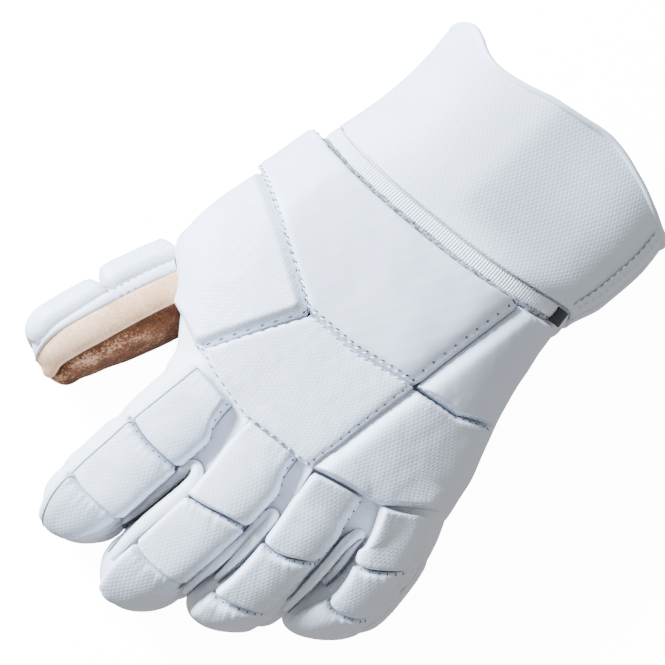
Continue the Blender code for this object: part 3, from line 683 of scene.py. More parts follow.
def suede(name, light, dark, patches=55.0, rubbed_and_lit=None):
    """Napped suede: short fibres brushed in patches of lighter and darker tone, and paler in streaks by a
    share stored on the piece, which marks rubbed nap and painted light.
    """
    material, tree, shader = node_material(name, light, 0.95)
    place = object_coordinates(tree)
    nap = texture(tree, "ShaderNodeTexNoise", place, 1000.0, Detail=3.0, Roughness=0.7)
    brushed = texture(tree, "ShaderNodeTexNoise", place, patches, Detail=5.0, Roughness=0.62, Distortion=0.8)
    mixed = math_node(tree, "MULTIPLY_ADD", nap.outputs["Fac"], 1.3, brushed.outputs["Fac"])
    mixed = math_node(tree, "MULTIPLY", mixed, 0.6)
    stops = [(0.52, dark), (0.86, light)]
    if rubbed_and_lit is not None:
        # Paler streaks of rubbed nap, laid where the stored share puts painted light.
        streaks = texture(tree, "ShaderNodeTexNoise", place, 260.0, Detail=3.0, Roughness=0.6)
        rubbed = math_node(tree, "MULTIPLY", stored(tree, "rubbed_and_lit", "Fac"), streaks.outputs["Fac"])
        mixed = math_node(tree, "MULTIPLY_ADD", rubbed, 0.34, mixed)
        stops = [(0.52, dark), (0.78, light), (0.98, rubbed_and_lit)]
    tree.links.new(colour_ramp(tree, mixed, stops), shader.inputs["Base Color"])
    normal = bump(tree, nap.outputs["Fac"], 0.0004, 0.6)
    tree.links.new(bump(tree, brushed.outputs["Fac"], 0.0006, 0.35, normal), shader.inputs["Normal"])
    shader.inputs["Sheen Weight"].default_value = 0.05
    shader.inputs["Sheen Roughness"].default_value = 0.5
    shader.inputs["Specular IOR Level"].default_value = 0.15
    return material


def elastic(name, colour, rib=0.0):
    """Knitted elastic: cords across it with a matt, slightly fuzzy face; where it has cords, its colour is
    darker between them as painted shade.
    """
    material, tree, shader = node_material(name, colour, 0.8)
    knit = texture(tree, "ShaderNodeTexVoronoi", object_coordinates(tree), 1500.0, Randomness=0.4)
    normal = bump(tree, knit.outputs["Distance"], 0.0002, 0.4)
    if rib:
        cords = wave_along(tree, stored(tree, "grain_place", "Vector"), (2 * math.pi / rib, 0.0, 0.0))
        cords = math_node(tree, "MULTIPLY_ADD", cords, 0.5, 0.5)
        # Painted shade: the colour darkens in the hollows between the cords.
        stops = [(0.0, tinted(colour, 0.80)), (0.45, tinted(colour, 0.97)), (1.0, tinted(colour, 1.03))]
        tree.links.new(colour_ramp(tree, cords, stops), shader.inputs["Base Color"])
        normal = bump(tree, cords, 0.00024, 1.0, normal)
    tree.links.new(normal, shader.inputs["Normal"])
    shader.inputs["Sheen Weight"].default_value = 0.2
    return material


PEBBLED = leather("pebbled white leather", WHITE, 0.00007, 0.46, 0.22)
SMOOTH = leather("smooth white leather", SMOOTH_WHITE, 0.000004, 0.40)
SOFT = leather("soft white leather", SOFT_WHITE, 0.000004, 0.5)
PALM_SUEDE = suede("tan suede", TAN, tinted(TAN, 0.72))
THUMB_SUEDE = suede("light tan suede", (1.0, 0.66, 0.41), (0.70, 0.37, 0.19))
# The thumb's under strip is tan suede like the strip above it; its much darker brown is painted shade where
# the strip turns away from the lamp.
SHADED_THUMB_SUEDE = suede("thumb suede in painted shade", (0.135, 0.047, 0.017), (0.040, 0.011, 0.005), 60.0,
                    (0.60, 0.33, 0.18))
# Near-black suede for the line at the bottom of the thumb's fold: painted shade in the crease.
FOLD_SHADE_SUEDE = suede("painted shade in the fold", (0.16, 0.065, 0.03), (0.05, 0.018, 0.008))
WHITE_ELASTIC = elastic("white elastic", (0.95, 0.965, 1.0), RIB_PITCH)
# Grey threads with near-black between them: the near-black is painted shadow along the pads' edge.
FRAYED_SHADOW = suede("frayed grey threads", (0.62, 0.64, 0.70), (0.05, 0.05, 0.06), 500.0)
BLACK_ELASTIC = elastic("black elastic", BLACK)
# Black cloth put in the slit between the index and middle fingers: painted shade.
SHADE_CLOTH = elastic("black cloth of painted shade", BLACK)
THREADS = node_material("white thread", THREAD, 0.7)[0]
# Near-black beads for the needle holes: painted shade inside the holes.
HOLE_SHADE = node_material("needle holes in painted shade", (0.06, 0.06, 0.07), 0.9)[0]
SEAM_LINE = node_material("seam in shade", (0.34, 0.34, 0.37), 0.9)[0]
SEAM_SHADE = node_material("fold in shade", (0.16, 0.16, 0.18), 0.9)[0]
GRAINS = {"smooth": SMOOTH, "pebbled": PEBBLED}


# Skins: the tubes of soft leather under the pads


def skin_of(name, points, node):
    """Open-wristed skin through rings of points, closed at the tip."""
    rows, columns = points.shape[:2]
    faces = grid_faces(rows, columns, wrap=True)
    faces.append(tuple(range((rows - 1) * columns, rows * columns)))
    return new_piece(name, points.reshape(-1, 3), faces, SOFT, node)


def fine_places(first, start, end, count, tip_count):
    """Places along a tube, closer together where the end rounds off."""
    tip = 1.0 - (1.0 - np.linspace(0, 1, tip_count)) ** 2
    return np.concatenate([np.linspace(first, start, count), start + (end - start) * tip[1:]])


def side_growth(angle, along):
    """Extra thickness of the leather at the sides and below, down to the suede's seam."""
    height = np.sin(np.radians(angle))
    grow = SIDE_LEATHER * smooth_step(0.75, 0.15, height) * smooth_step(-0.93, -0.84, height)
    return grow * smooth_step(1.0, 0.75, along)


def build_hand_skin():
    places = fine_places(0.0, 0.9, 1.0, 90, 14)
    along, angle = np.meshgrid(places, even_angles(0, 360, 181, HAND_SQUARE, 2.0)[:-1], indexing="ij")
    grow = side_growth(angle, 0.0 * along) * smooth_step(0.0, 0.12, along)
    relief = 0.35 * waves(hand_points(along, angle), 24.0, 3) * smooth_step(0.0, 1.0, grow)
    skin = skin_of("hand_skin", hand_points(along, angle, grow + relief), "hand_shell")
    wall = skin.modifiers.new("leather", "SOLIDIFY")
    wall.thickness = LEATHER * MM
    wall.offset = -1.0


def build_digit_skins():
    """Fingers' leather, drawn in at each crease and wrinkled along its sides, and the thumb's."""
    places = fine_places(0.0, DOME_START, 0.9995, 100, 20)
    along, angle = np.meshgrid(places, even_angles(0, 360, 121, DIGIT_SQUARE)[:-1], indexing="ij")
    for order, digit in enumerate(DIGITS):
        grow = side_growth(angle, along)
        base = digit_points(digit, along, angle)
        relief = 0.22 * waves(base * (1.0, 0.35, 1.0), 9.0, 30 + order)
        relief = relief + side_folds(along, angle, order)
        for crease in CREASES[digit.name][1:3]:
            middle = (crease.thumb_side + crease.other_side) / 2 + crease.bow / 2
            relief = relief - CREASE_DEPTH * np.exp(-((along - middle) / CREASE_WIDTH) ** 2)
        points = digit_points(digit, along, angle, grow + relief * smooth_step(0.0, 1.0, grow))
        skin_of(digit.name + "_skin", points, digit.name + "_sleeve")
    skin_of("thumb_skin", digit_points(THUMB, along, angle, thumb_push(along, angle)), "thumb_sleeve")


def side_folds(along, angle, order):
    """Long folds that run along both sides of a finger, fading toward the knuckles and the tip."""
    waver = 7.0 * np.sin(along * 11.0 + order) + 3.0 * np.sin(along * 29.0 + 2.0 * order)
    folds = np.cos(np.radians((angle + waver) * 360.0 / FOLD_PITCH))
    folds = FOLD_HEIGHT * (0.5 - (1 - np.abs(folds)) ** 2)
    return folds * smooth_step(0.20, 0.40, along) * smooth_step(0.98, 0.80, along)


# Pads: foam blocks under leather, each a closed piece that puffs between its seams


def tube_height(tube, x, y, hold=0.0):
    """Height of a tube's back over places, or far below where the tube isn't.

    The height at the tube's edge is held for some millimetres beyond it."""
    along = (tube.root_y - y) / tube.reach
    section = tube.section_at(np.clip(along, 0.0, 0.995))
    q = (x - section.x) / section.half
    inside = (along >= 0.0) & (along < 1.0) & (np.abs(x - section.x) < HAND_EDGE * section.half + hold)
    q = np.clip(q, -HAND_EDGE, HAND_EDGE)
    round_back = (1 - np.abs(q) ** tube.square) ** (1 / tube.square)
    top = section.z + section.rise * (1 - section.lean * q) * round_back
    fade = smooth_step(0.0, 10.0, tube.root_y - y) * 8.0 - 8.0
    return np.where(inside, top + fade, -100.0)


def digit_tube(digit):
    return Tube(lambda along: digit_section(digit, along), digit.root_y, digit.reach, DIGIT_SQUARE)


HAND = Tube(hand_section, WRIST_Y, HAND_LENGTH, HAND_SQUARE)
TUBES = {digit.name: digit_tube(digit) for digit in DIGITS + [THUMB]}


def hand_angle(x, y):
    """Angle round the hand of places on its back."""
    section = hand_section((WRIST_Y - y) / HAND_LENGTH)
    return back_angle(np.clip((x - section.x) / section.half, -HAND_EDGE, HAND_EDGE), HAND_SQUARE)


def band_front(x):
    """Place along Y where the wrist elastic ends over places across the hand."""
    section = hand_section((WRIST_Y - BAND_Y + BAND_DIP / 2) / HAND_LENGTH)
    angle = back_angle(np.clip((x - section.x) / section.half, -1.0, 1.0), HAND_SQUARE)
    return BAND_Y - band_dip(angle) - PAD_TO_BAND


def chain(points, shares):
    """Places on a chain of points at shares of it, counted by its points."""
    points = np.asarray(points, float)
    at = np.clip(shares, 0.0, 1.0) * (len(points) - 1)
    index = np.minimum(at.astype(int), len(points) - 2)
    t = (at - index)[..., None]
    return points[index] * (1 - t) + points[index + 1] * t


def hand_places(edge):
    """Corners of a pad's edge on the back of the hand, across and along it in millimetres."""
    places = []
    for across, along in edge:
        x = across * HAND_WIDTH
        places.append((x, float(band_front(x)) if along is None else WRIST_Y - along * HAND_LENGTH))
    return places


def pad_places(pad, u, v, to_plane):
    """Places of a pad between its four edges, each straight between its corners as seen from above."""
    wrist, front = hand_places(pad.wrist_edge), hand_places(pad.front_edge)
    first, last = to_plane(chain(wrist, u)), to_plane(chain(front, u))
    left = to_plane(chain([wrist[0], front[0]], v))
    right = to_plane(chain([wrist[-1], front[-1]], v))
    corners = to_plane(np.array([wrist[0], wrist[-1], front[0], front[-1]]))
    u, v = u[..., None], v[..., None]
    return ((1 - v) * first + v * last + (1 - u) * left + u * right
            - (1 - u) * (1 - v) * corners[0] - u * (1 - v) * corners[1]
            - (1 - u) * v * corners[2] - u * v * corners[3])


def round_plane(places):
    """Places across and along the hand as angles round it and places along it."""
    return np.stack([hand_angle(places[..., 0], places[..., 1]), places[..., 1]], axis=-1)


def segment_distance(points, line):
    """Distance of points to a polyline, and how far along it the nearest place is."""
    a, b = line[:-1], line[1:]
    step = b - a
    length = np.maximum(np.linalg.norm(step, axis=1), 1e-6)
    start = np.concatenate([[0.0], np.cumsum(length)[:-1]])
    flat = points.reshape(-1, 3)
    t = np.clip(np.einsum("psk,sk->ps", flat[:, None] - a[None], step) / length ** 2, 0.0, 1.0)
    gaps = np.linalg.norm(flat[:, None] - (a[None] + t[..., None] * step[None]), axis=2)
    near = gaps.argmin(axis=1)
    rows = np.arange(len(flat))
    shape = points.shape[:-1]
    return gaps[rows, near].reshape(shape), (start[near] + t[rows, near] * length[near]).reshape(shape)


def grid_normals(points, rounds):
    """Outward normals of a grid, evened out between neighbours."""
    du = np.gradient(points, axis=1)
    dv = np.gradient(points, axis=0)
    normals = np.cross(du, dv)
    if normals[..., 2].mean() < 0:
        normals = -normals
    for _ in range(rounds):
        padded = np.pad(normals, ((1, 1), (1, 1), (0, 0)), mode="edge")
        normals = (padded[:-2, 1:-1] + padded[2:, 1:-1] + padded[1:-1, :-2] + padded[1:-1, 2:] + normals) / 5
    return unit(normals)


def pad_shares(count, length, bevel_a, bevel_b):
    """Shares along a pad's side, closer together over its two bevels."""
    weight = np.ones(1200)
    place = np.linspace(0, length, 1200)
    weight += 1.6 * np.exp(-((place - 0.3) / 1.6) ** 2) + 1.6 * np.exp(-((length - place - 0.3) / 1.6) ** 2)
    weight += 0.7 * np.exp(-((place - bevel_a) / 2.0) ** 2)
    weight += 0.7 * np.exp(-((length - place - bevel_b) / 2.0) ** 2)
    total = np.concatenate([[0.0], np.cumsum((weight[1:] + weight[:-1]) / 2)])
    return np.interp(np.linspace(0, total[-1], count), total, place) / length


def wrinkles(run, seed, pitch):
    """Uneven folds along an edge, from -1 to 1."""
    steps = np.random.default_rng(seed)
    total = np.zeros_like(run)
    for share in (1.0, 0.72, 0.53, 1.37):
        start = steps.uniform(0, 2 * math.pi)
        total += np.sin(2 * math.pi * run / (pitch * share) + start) * steps.uniform(0.5, 1.0)
    return total / 2.6


# How a pad is filled: its thickness, the widths of its bevels and the heights of its seams and of
# their puckers along the wrist edge, finger edge, thumb side and other side, how much it tilts, how
# far its top is flattened, how softly its faces meet, how full its bevels are, how upright it stands
PadForm = namedtuple("PadForm", "thick bevels lows puckers tilt flat crease puff upright")
Cover = namedtuple("Cover", "base outer normals")
COVERS = {}


def foam_relief(base, form, seed):
    """Height of a pad's leather above the skin: low at its seams, up its bevels and flat on top."""
    from_left = np.linalg.norm(base - base[:, :1], axis=-1)
    from_right = np.linalg.norm(base - base[:, -1:], axis=-1)
    top = (form.thick - 0.5) * (1 + form.tilt * (0.36 - from_left / (from_left + from_right)))
    height, folds = None, 0.0
    sides = (base[0], base[-1], base[:, 0], base[:, -1])
    for number, (line, bevel, low, pucker) in enumerate(zip(sides, form.bevels, form.lows, form.puckers)):
        gap, run = segment_distance(base, line)
        climb = np.clip(gap / bevel, 0.0, 1.0)
        climb = (1 - (1 - climb) ** form.puff) ** (1 / form.puff)
        rise = low - 0.5 * np.exp(-gap / 0.45) + (top - low) * climb
        height = rise if height is None else soft_min(height, rise, form.crease)
        fold = np.exp(-gap / PUCKER_REACH) * (1 - np.exp(-gap / PUCKER_START))
        folds = folds + pucker * fold * wrinkles(run, seed + 40 * number, PUCKER_PITCH)
    share = np.clip(height / top, 0.0, 1.0)
    crown = 0.5 * smooth_step(0.3, 1.0, share)
    unevenness = 0.26 * waves(base, 20.0, seed + 1) + 0.10 * waves(base, 7.0, seed + 2)
    height = np.maximum(height, GAP + 0.2) + crown + folds + unevenness * share
    return height, share


def flattened(outer, share, flat):
    """Draws a pad's top toward the plane that fits it best."""
    cloud = outer[share > 0.9]
    if flat == 0 or len(cloud) <= 12:
        return outer
    centre = cloud.mean(axis=0)
    axis = np.linalg.svd(cloud - centre, full_matrices=False)[2][2]
    push = np.clip(flat * ((outer - centre) @ axis), -FLAT_MOST, FLAT_MOST) * smooth_step(0.5, 1.0, share)
    return outer - push[..., None] * axis


def pad_piece(node, base, form, grain, seed):
    """Cover of one foam pad on a grid of base points, kept for its stitches."""
    straight_up = np.array([0.0, 0.0, form.upright])
    normals = unit(grid_normals(base, NORMAL_ROUNDS) * (1 - form.upright) + straight_up)
    height, share = foam_relief(base, form, seed)
    outer = flattened(base + normals * height[..., None], share, form.flat)
    piece = closed_patch(node + "_cover", outer, base + normals * GAP, GRAINS[grain], node)
    lay_grain(piece, outer, 2)
    COVERS[node] = Cover(base, outer, normals)


def side_length(points):
    return float(np.linalg.norm(np.diff(points, axis=0), axis=1).sum())


def inset_grid(point, columns, rows, bevels, margin, radius):
    """Grid of base points of a pad, a margin inside its outline and with its corners rounded."""
    rough = point(*np.meshgrid(np.linspace(0, 1, 9), np.linspace(0, 1, 9)))
    width = (side_length(rough[0]) + side_length(rough[-1])) / 2
    height = (side_length(rough[:, 0]) + side_length(rough[:, -1])) / 2
    u = pad_shares(columns, width, bevels[2], bevels[3])
    v = pad_shares(rows, height, bevels[0], bevels[1])
    u = margin / width + u * (1 - 2 * margin / width)
    v = margin / height + v * (1 - 2 * margin / height)
    u, v = np.meshgrid(u, v)
    across, down = [np.clip(1 - np.minimum(share, 1 - share) * length / radius, 0.0, 1.0)
                    for share, length in ((u, width), (v, height))]
    u = u + np.sign(0.5 - u) * across * (1 - np.sqrt(1 - down ** 2 / 2)) * radius / width
    v = v + np.sign(0.5 - v) * down * (1 - np.sqrt(1 - across ** 2 / 2)) * radius / height
    return point(u, v)


def over_others(points, others, blend):
    """Lifts points on the back of one tube over the others that stand higher there."""
    lifted = points.copy()
    for tube in others:
        lifted[..., 2] = soft_max(lifted[..., 2], tube_height(tube, points[..., 0], points[..., 1]), blend)
    return lifted


def build_hand_pads():
    others = list(TUBES.values())
    for number, pad in enumerate(HAND_PADS):
        def round_the_hand(u, v):
            places = pad_places(pad, u, v, round_plane)
            base = hand_points((WRIST_Y - places[..., 1]) / HAND_LENGTH, places[..., 0])
            return over_others(base, others, TUBE_BLEND)

        def over_the_thumb(u, v):
            places = pad_places(pad, u, v, lambda places: places)
            x, y = places[..., 0], places[..., 1]
            x = x - PAD_BOW * np.sin(np.pi * np.clip(0.92 * v, 0.0, 1.0)) * (1 - u) ** 2
            heights = tube_height(HAND, x, y, hold=PAD_HOLD)
            for tube in others:
                heights = soft_max(heights, tube_height(tube, x, y, hold=PAD_HOLD), TUBE_BLEND)
            return np.stack([x, y, heights], axis=-1)

        point = over_the_thumb if pad.name == "thumb_base_pad" else round_the_hand
        base = inset_grid(point, 90, 80, pad.bevels, SEAM_MARGIN, pad.corner)
        form = PadForm(HAND_PAD, pad.bevels, pad.lows, (0.2, 0.15, 0.15, 0.15), pad.tilt, 0.35, pad.crease,
                       pad.puff, pad.upright)
        pad_piece(pad.name, base, form, pad.grain, 20 + number * 3)


def finger_pad_points(digit, near, far, u, v):
    """Places on a finger's back between two creases, u from its thumb side and v from the knuckle."""
    start = near.thumb_side + (near.other_side - near.thumb_side) * u + near.bow * 4 * u * (1 - u)
    end = far.thumb_side + (far.other_side - far.thumb_side) * u + far.bow * 4 * u * (1 - u)
    first = near.first_q + (far.first_q - near.first_q) * v
    last = near.last_q + (far.last_q - near.last_q) * v
    angle = back_angle(first + (last - first) * u, DIGIT_SQUARE)
    return over_others(digit_points(digit, start + (end - start) * v, angle), [HAND], FINGER_BLEND)


def build_finger_pads():
    for order, digit in enumerate(DIGITS):
        creases, pads = CREASES[digit.name], FINGER_PADS[digit.name]
        for number, (near, far) in enumerate(zip(creases, creases[1:]), 1):
            first, tip = number == 1, number == 3
            form = PadForm(FINGER_PAD, (2.5 if first else 4.0, 9.0 if tip else 2.0, pads.bevel, 6.0),
                           (5.5 if first else 3.2, 1.0, pads.low, 1.2),
                           (0.2 if first else 0.45, 0.15, 0.1, 0.15),
                           pads.tip_tilt if tip else pads.tilt, 0.0 if tip else 0.2,
                           TIP_CREASE if tip else pads.crease, pads.puff, 0.0)
            base = inset_grid(lambda u, v: finger_pad_points(digit, near, far, u, v), 60, 52, form.bevels,
                              0.2, 2.5)
            pad_piece("%s_pad_%d" % (digit.name, number), base, form, "pebbled", 60 + order * 10 + number * 3)


def build_thumb_pads():
    for number, (start, end) in enumerate(zip(THUMB_LINES, THUMB_LINES[1:]), 1):
        def point(u, v):
            along = start + (end - start) * v
            first = thumb_stitches(along)
            return digit_points(THUMB, along, first + (THUMB_PAD_TO - first) * (1 - u))

        tip = number == 2
        base = inset_grid(point, 64, 56, (5.0, 5.0, 5.0, 5.0), 0.3, 5.0)
        form = PadForm(THUMB_TIP_PAD if tip else THUMB_PAD, (5.0, 10.0 if tip else 5.0, 5.0, 13.0),
                       (2.0, 2.0, 2.0, 2.0), (0.35, 0.3, 0.2, 0.2), 0.0, 0.0, 3.0, 1.3, 0.0)
        pad_piece("thumb_pad_%d" % number, base, form, "pebbled", 110 + number * 3)


def ring_middle(digit, points):
    section = digit_section(digit, (digit.root_y - points[..., 1]) / digit.reach)
    return np.stack([section.x, section.y, section.z], axis=-1)


# Stitches


def cover_line(node, side, inset):
    """Chain of points on a cover beside one of its edges, some millimetres inside it."""
    cover = COVERS[node]
    points, base = cover.outer, cover.base
    if side in ("thumb side", "other side"):
        points, base = points.swapaxes(0, 1), base.swapaxes(0, 1)
    if side in ("finger edge", "other side"):
        points, base = points[::-1], base[::-1]
    away = np.linalg.norm(base - base[:1], axis=-1)
    line = []
    for column in range(points.shape[1]):
        place = np.interp(inset, away[:, column], np.arange(len(points)))
        low = min(int(place), len(points) - 2)
        line.append(points[low, column] * (low + 1 - place) + points[low + 1, column] * (place - low))
    return np.array(line)


def even_places(line, pitch, start=0.5):
    """Points at an even pitch along a chain, and the chain's direction at each."""
    run = np.concatenate([[0.0], np.cumsum(np.linalg.norm(np.diff(line, axis=0), axis=1))])
    count = max(int(run[-1] / pitch), 1)
    wanted = (np.arange(count) + start) * run[-1] / count

    def at(places):
        return np.stack([np.interp(places, run, line[:, k]) for k in range(3)], axis=-1)

    return at(wanted), unit(at(np.minimum(wanted + 0.5, run[-1])) - at(np.maximum(wanted - 0.5, 0.0)))


def beads(points, forward, ups, size, turn):
    """Points and faces of small ellipsoids; size is their half length, width and height."""
    sides, levels = 8, (-0.7, 0.0, 0.7)
    shape = [(0.0, 0.0, -1.0)]
    for level in levels:
        width = math.sqrt(1 - level * level)
        for k in range(sides):
            round_it = 2 * math.pi * k / sides
            shape.append((width * math.cos(round_it), width * math.sin(round_it), level))
    shape.append((0.0, 0.0, 1.0))
    shape = np.array(shape) * size
    faces = [(0, 1 + (k + 1) % sides, 1 + k) for k in range(sides)]
    faces += [tuple(1 + index for index in face) for face in grid_faces(len(levels), sides, wrap=True)]
    last, top = 1 + (len(levels) - 1) * sides, 1 + len(levels) * sides
    faces += [(last + k, last + (k + 1) % sides, top) for k in range(sides)]
    aside = unit(np.cross(ups, forward))
    up = np.cross(forward, aside)
    turned = forward * math.cos(turn) + aside * math.sin(turn)
    aside = np.cross(up, turned)
    all_points = (points[:, None] + turned[:, None] * shape[None, :, :1]
                  + aside[:, None] * shape[None, :, 1:2] + up[:, None] * shape[None, :, 2:])
    all_faces = []
    for k in range(len(points)):
        all_faces += [tuple(index + k * len(shape) for index in face) for face in faces]
    return all_points.reshape(-1, 3), all_faces


def ups_on(node, points):
    """Outward directions of a cover at places on it."""
    cover = COVERS[node]
    flat, normals = cover.outer.reshape(-1, 3), cover.normals.reshape(-1, 3)
    near = [int(((flat - point) ** 2).sum(axis=1).argmin()) for point in points]
    return normals[near]


def build_stitches():
    """Rows of needle holes and threads beside the seams of the covers, one piece for each row."""
    for number, row in enumerate(STITCH_ROWS):
        line = cover_line(row.node, row.side, row.inset)
        places, forward = even_places(line, row.pitch)
        ups = ups_on(row.node, places)
        steps = np.random.default_rng(400 + number)
        wander = steps.uniform(-STITCH_WANDER, STITCH_WANDER, (len(places), 1))
        places = places + forward * wander + ups * row.lift
        points, faces = beads(places, forward, ups, np.array(row.size), math.radians(row.turn))
        name = "%s_%s_%d" % (row.node, row.kind, number)
        # Holes are near-black beads, painted shade inside them; threads have the thread's own colour.
        new_piece(name, points, faces, {"holes": HOLE_SHADE, "thread": THREADS}[row.kind])


def build_seam_cords():
    """Cords that fill the seams between the pads of the hand, and thin sewn lines beside the fingers."""
    for node, side in SEAM_CORDS:
        cover = COVERS[node]
        edge = {"thumb side": np.s_[:, 0], "other side": np.s_[:, -1],
                "finger edge": np.s_[-1], "wrist edge": np.s_[0]}[side]
        ups = cover.normals[edge]
        sweep(node + "_cord_" + side.split()[0], cover.outer[edge] - ups * CORD_SINK, ups, *CORD_SIZE, SOFT)
    for node, side, inset in SEWN_LINES:
        line = cover_line(node, side, inset)
        sweep(node + "_line", line, ups_on(node, line), *SEWN_LINE_SIZE, SEAM_LINE)


# Suede of the palm and the thumb


def under_angles(count, square):
    """Angles round the underside of a section, between its two side seams."""
    drop = math.degrees(math.asin(SEAM_DROP ** (square / 2)))
    return even_angles(180 + drop, 360 - drop, count, square)


def build_palm():
    """Suede under the hand and fingers: one closed layer for each, on the ground."""
    start = (WRIST_Y - BAND_Y + GAP) / HAND_LENGTH
    places = np.concatenate([np.linspace(start, 0.9, 60), np.linspace(0.905, 1.0, 12)])
    palm_layer(hand_points, places, under_angles(60, HAND_SQUARE), "palm_suede", "palm")
    places = fine_places(0.05, DOME_START, 0.885, 46, 14)
    for digit in DIGITS:
        palm_layer(lambda along, angle, grow: digit_points(digit, along, angle, grow), places,
                   under_angles(36, DIGIT_SQUARE), digit.name + "_suede", "")


def palm_layer(point, places, angles, name, node):
    along, angle = np.meshgrid(places, angles, indexing="ij")
    outer, inner = point(along, angle, GAP + SUEDE), point(along, angle, GAP)
    closed_patch(name, outer, inner, PALM_SUEDE, node, "tan_suede")


def thumb_push(along, angle):
    """The thumb's underside after wear: drawn in before the tip and pushed out at it."""
    turn = np.mod(angle + 195.0, 360.0) - 180.0
    drawn = np.exp(-((along - 0.82) / 0.09) ** 2 - (turn / 40.0) ** 2)
    pushed = np.exp(-((along - 0.965) / 0.04) ** 2 - (turn / 40.0) ** 2)
    return THUMB_TIP_PUSH * pushed - THUMB_DRAWN * drawn


def thumb_panel(name, first, last, edge, bulge, material, node, slot, seed):
    """Layer on the thumb between two lines of angles, thinner at its edges and swelling between."""
    shares, across = np.meshgrid(np.linspace(0, 1, 110), np.linspace(0, 1, 64), indexing="ij")
    along = THUMB_SUEDE_START + (THUMB_SUEDE_END - THUMB_SUEDE_START) * shares
    for _ in range(3):
        angle = first(along) + (last(along) - first(along)) * across
        start = THUMB_SUEDE_START + THUMB_SUEDE_SLANT * np.clip((90.0 - angle) / 90.0, -0.4, 1.0)
        along = start + (THUMB_SUEDE_END - start) * shares
    base = digit_points(THUMB, along, angle, GAP + thumb_push(along, angle))
    normals = grid_normals(base, 6)
    if (normals * (base - ring_middle(THUMB, base))).sum() < 0:
        normals = -normals
    tip = np.minimum(1, (1 - shares) * 12 + 0.15)
    rounded = (1 - (1 - 2 * np.minimum(across, 1 - across)) ** 6) * tip
    height = edge + (SUEDE - edge) * rounded + bulge * np.sin(np.pi * across) ** 0.8 * tip
    height += 0.25 * waves(base, 16.0, seed) * rounded
    panel = closed_patch(name, base + normals * height[..., None], base, material, node, slot)
    # Paler streaks near the fold and toward the tip: the streaks are rubbed nap, and their place is a painted
    # highlight where the strip turns toward the lamp.
    rubbed_and_lit = smooth_step(0.10, 0.62, shares) * np.exp(-((across - 0.15) / 0.13) ** 2)
    rubbed_and_lit = rubbed_and_lit + 0.6 * np.exp(-((shares - 0.16) / 0.10) ** 2 - ((across - 0.30) / 0.10) ** 2)
    store(panel, "rubbed_and_lit", "FLOAT", "value", np.tile(rubbed_and_lit.ravel(), 2))


def thumb_stitches(along):
    """Angle of the stitched edge of the thumb's pads."""
    return on_curve(THUMB_ROWS, along)[..., 1]


def thumb_fold(along):
    """Angle of the fold between the thumb's two strips of suede."""
    return on_curve(THUMB_ROWS, along)[..., 2]


def build_thumb_suede():
    """Two strips of suede along the thumb's inner side with a fold between, and a leather edging; the under
    strip's dark brown is painted shade.
    """
    thumb_panel("thumb_edging", lambda along: thumb_stitches(along) + 1.0,
                lambda along: THUMB_SEAM + 0.3 + 0 * along, 1.5, 0.5, SOFT, "", "white_leather", 201)
    thumb_panel("thumb_suede_side", lambda along: THUMB_SEAM + 0.6 + 0 * along,
                lambda along: thumb_fold(along) + 0.5, 1.4, 0.4, THUMB_SUEDE, "thumb_palm", "tan_suede", 203)
    thumb_panel("thumb_suede_under", lambda along: thumb_fold(along) - 0.5,
                lambda along: THUMB_UNDER + 0 * along, 0.4, -1.2, SHADED_THUMB_SUEDE, "", "tan_suede", 205)


def build_thumb_fold():
    """Dark line of painted shade at the bottom of the fold, and the stitches along both edges of the edging.
    """
    along = np.linspace(THUMB_SUEDE_START + 0.05, 0.985, 90)
    waver = 0.8 * np.sin(along * 60.0) + 0.5 * np.sin(along * 143.0)
    path = digit_points(THUMB, along, thumb_fold(along) + waver, GAP + 0.5)
    sweep("thumb_fold", path, unit(path - ring_middle(THUMB, path)), *THUMB_FOLD_SIZE, FOLD_SHADE_SUEDE)
    along = np.linspace(THUMB_SUEDE_START - 0.06, 0.95, 90)
    for name, angle, lift in (("pads", thumb_stitches(along) - 2.5, 2.0),
                              ("suede", THUMB_SEAM + 2.0 + 0 * along, 1.9)):
        places, forward = even_places(digit_points(THUMB, along, angle, GAP + lift), EDGING_PITCH)
        ups = unit(places - ring_middle(THUMB, places))
        marks = beads(places, forward, ups, np.array(DASH) * 0.9, 0.1)
        new_piece("thumb_edging_stitches_" + name, *marks, SEAM_LINE)


# Webs between the fingers


def sweep(name, path, ups, width, thick, material, ends=0.35, sides=14):
    """Half-round strip along a path, as wide and as thick as said, narrower toward its two ends."""
    path, ups = np.asarray(path), np.asarray(ups)
    forward = unit(np.gradient(path, axis=0))
    aside = unit(np.cross(forward, ups))
    up = np.cross(aside, forward)
    count = len(path)
    share = np.linspace(0, 1, count)
    taper = ends + (1 - ends) * np.sqrt(np.clip(np.minimum(share, 1 - share) * 6, 0, 1))
    turn = np.linspace(0, 2 * math.pi, sides, endpoint=False)
    side, lift = np.cos(turn), np.sin(turn)
    lift = np.where(lift > 0, np.maximum(lift, 0.0) ** 0.8 * thick, lift * 0.8)
    width = np.broadcast_to(width, (count,))[:, None, None]
    points = (path[:, None] + aside[:, None] * (side / 2)[None, :, None] * width * taper[:, None, None]
              + up[:, None] * lift[None, :, None] * taper[:, None, None])
    faces = grid_faces(count, sides, wrap=True)
    faces.append(tuple(range(sides))[::-1])
    faces.append(tuple(range((count - 1) * sides, count * sides)))
    return new_piece(name, points.reshape(-1, 3), faces, material)


def aside_of(path, ups):
    """Directions across a path, level with the surface under it."""
    return unit(np.cross(np.gradient(path, axis=0), ups))


def smooth_line(points, rounds):
    """A chain of points with its corners cut, keeping its ends."""
    for _ in range(rounds):
        cut = [points[0]]
        for a, b in zip(points, points[1:]):
            cut += [a * 0.75 + b * 0.25, a * 0.25 + b * 0.75]
        points = np.array(cut + [points[-1]])
    return points


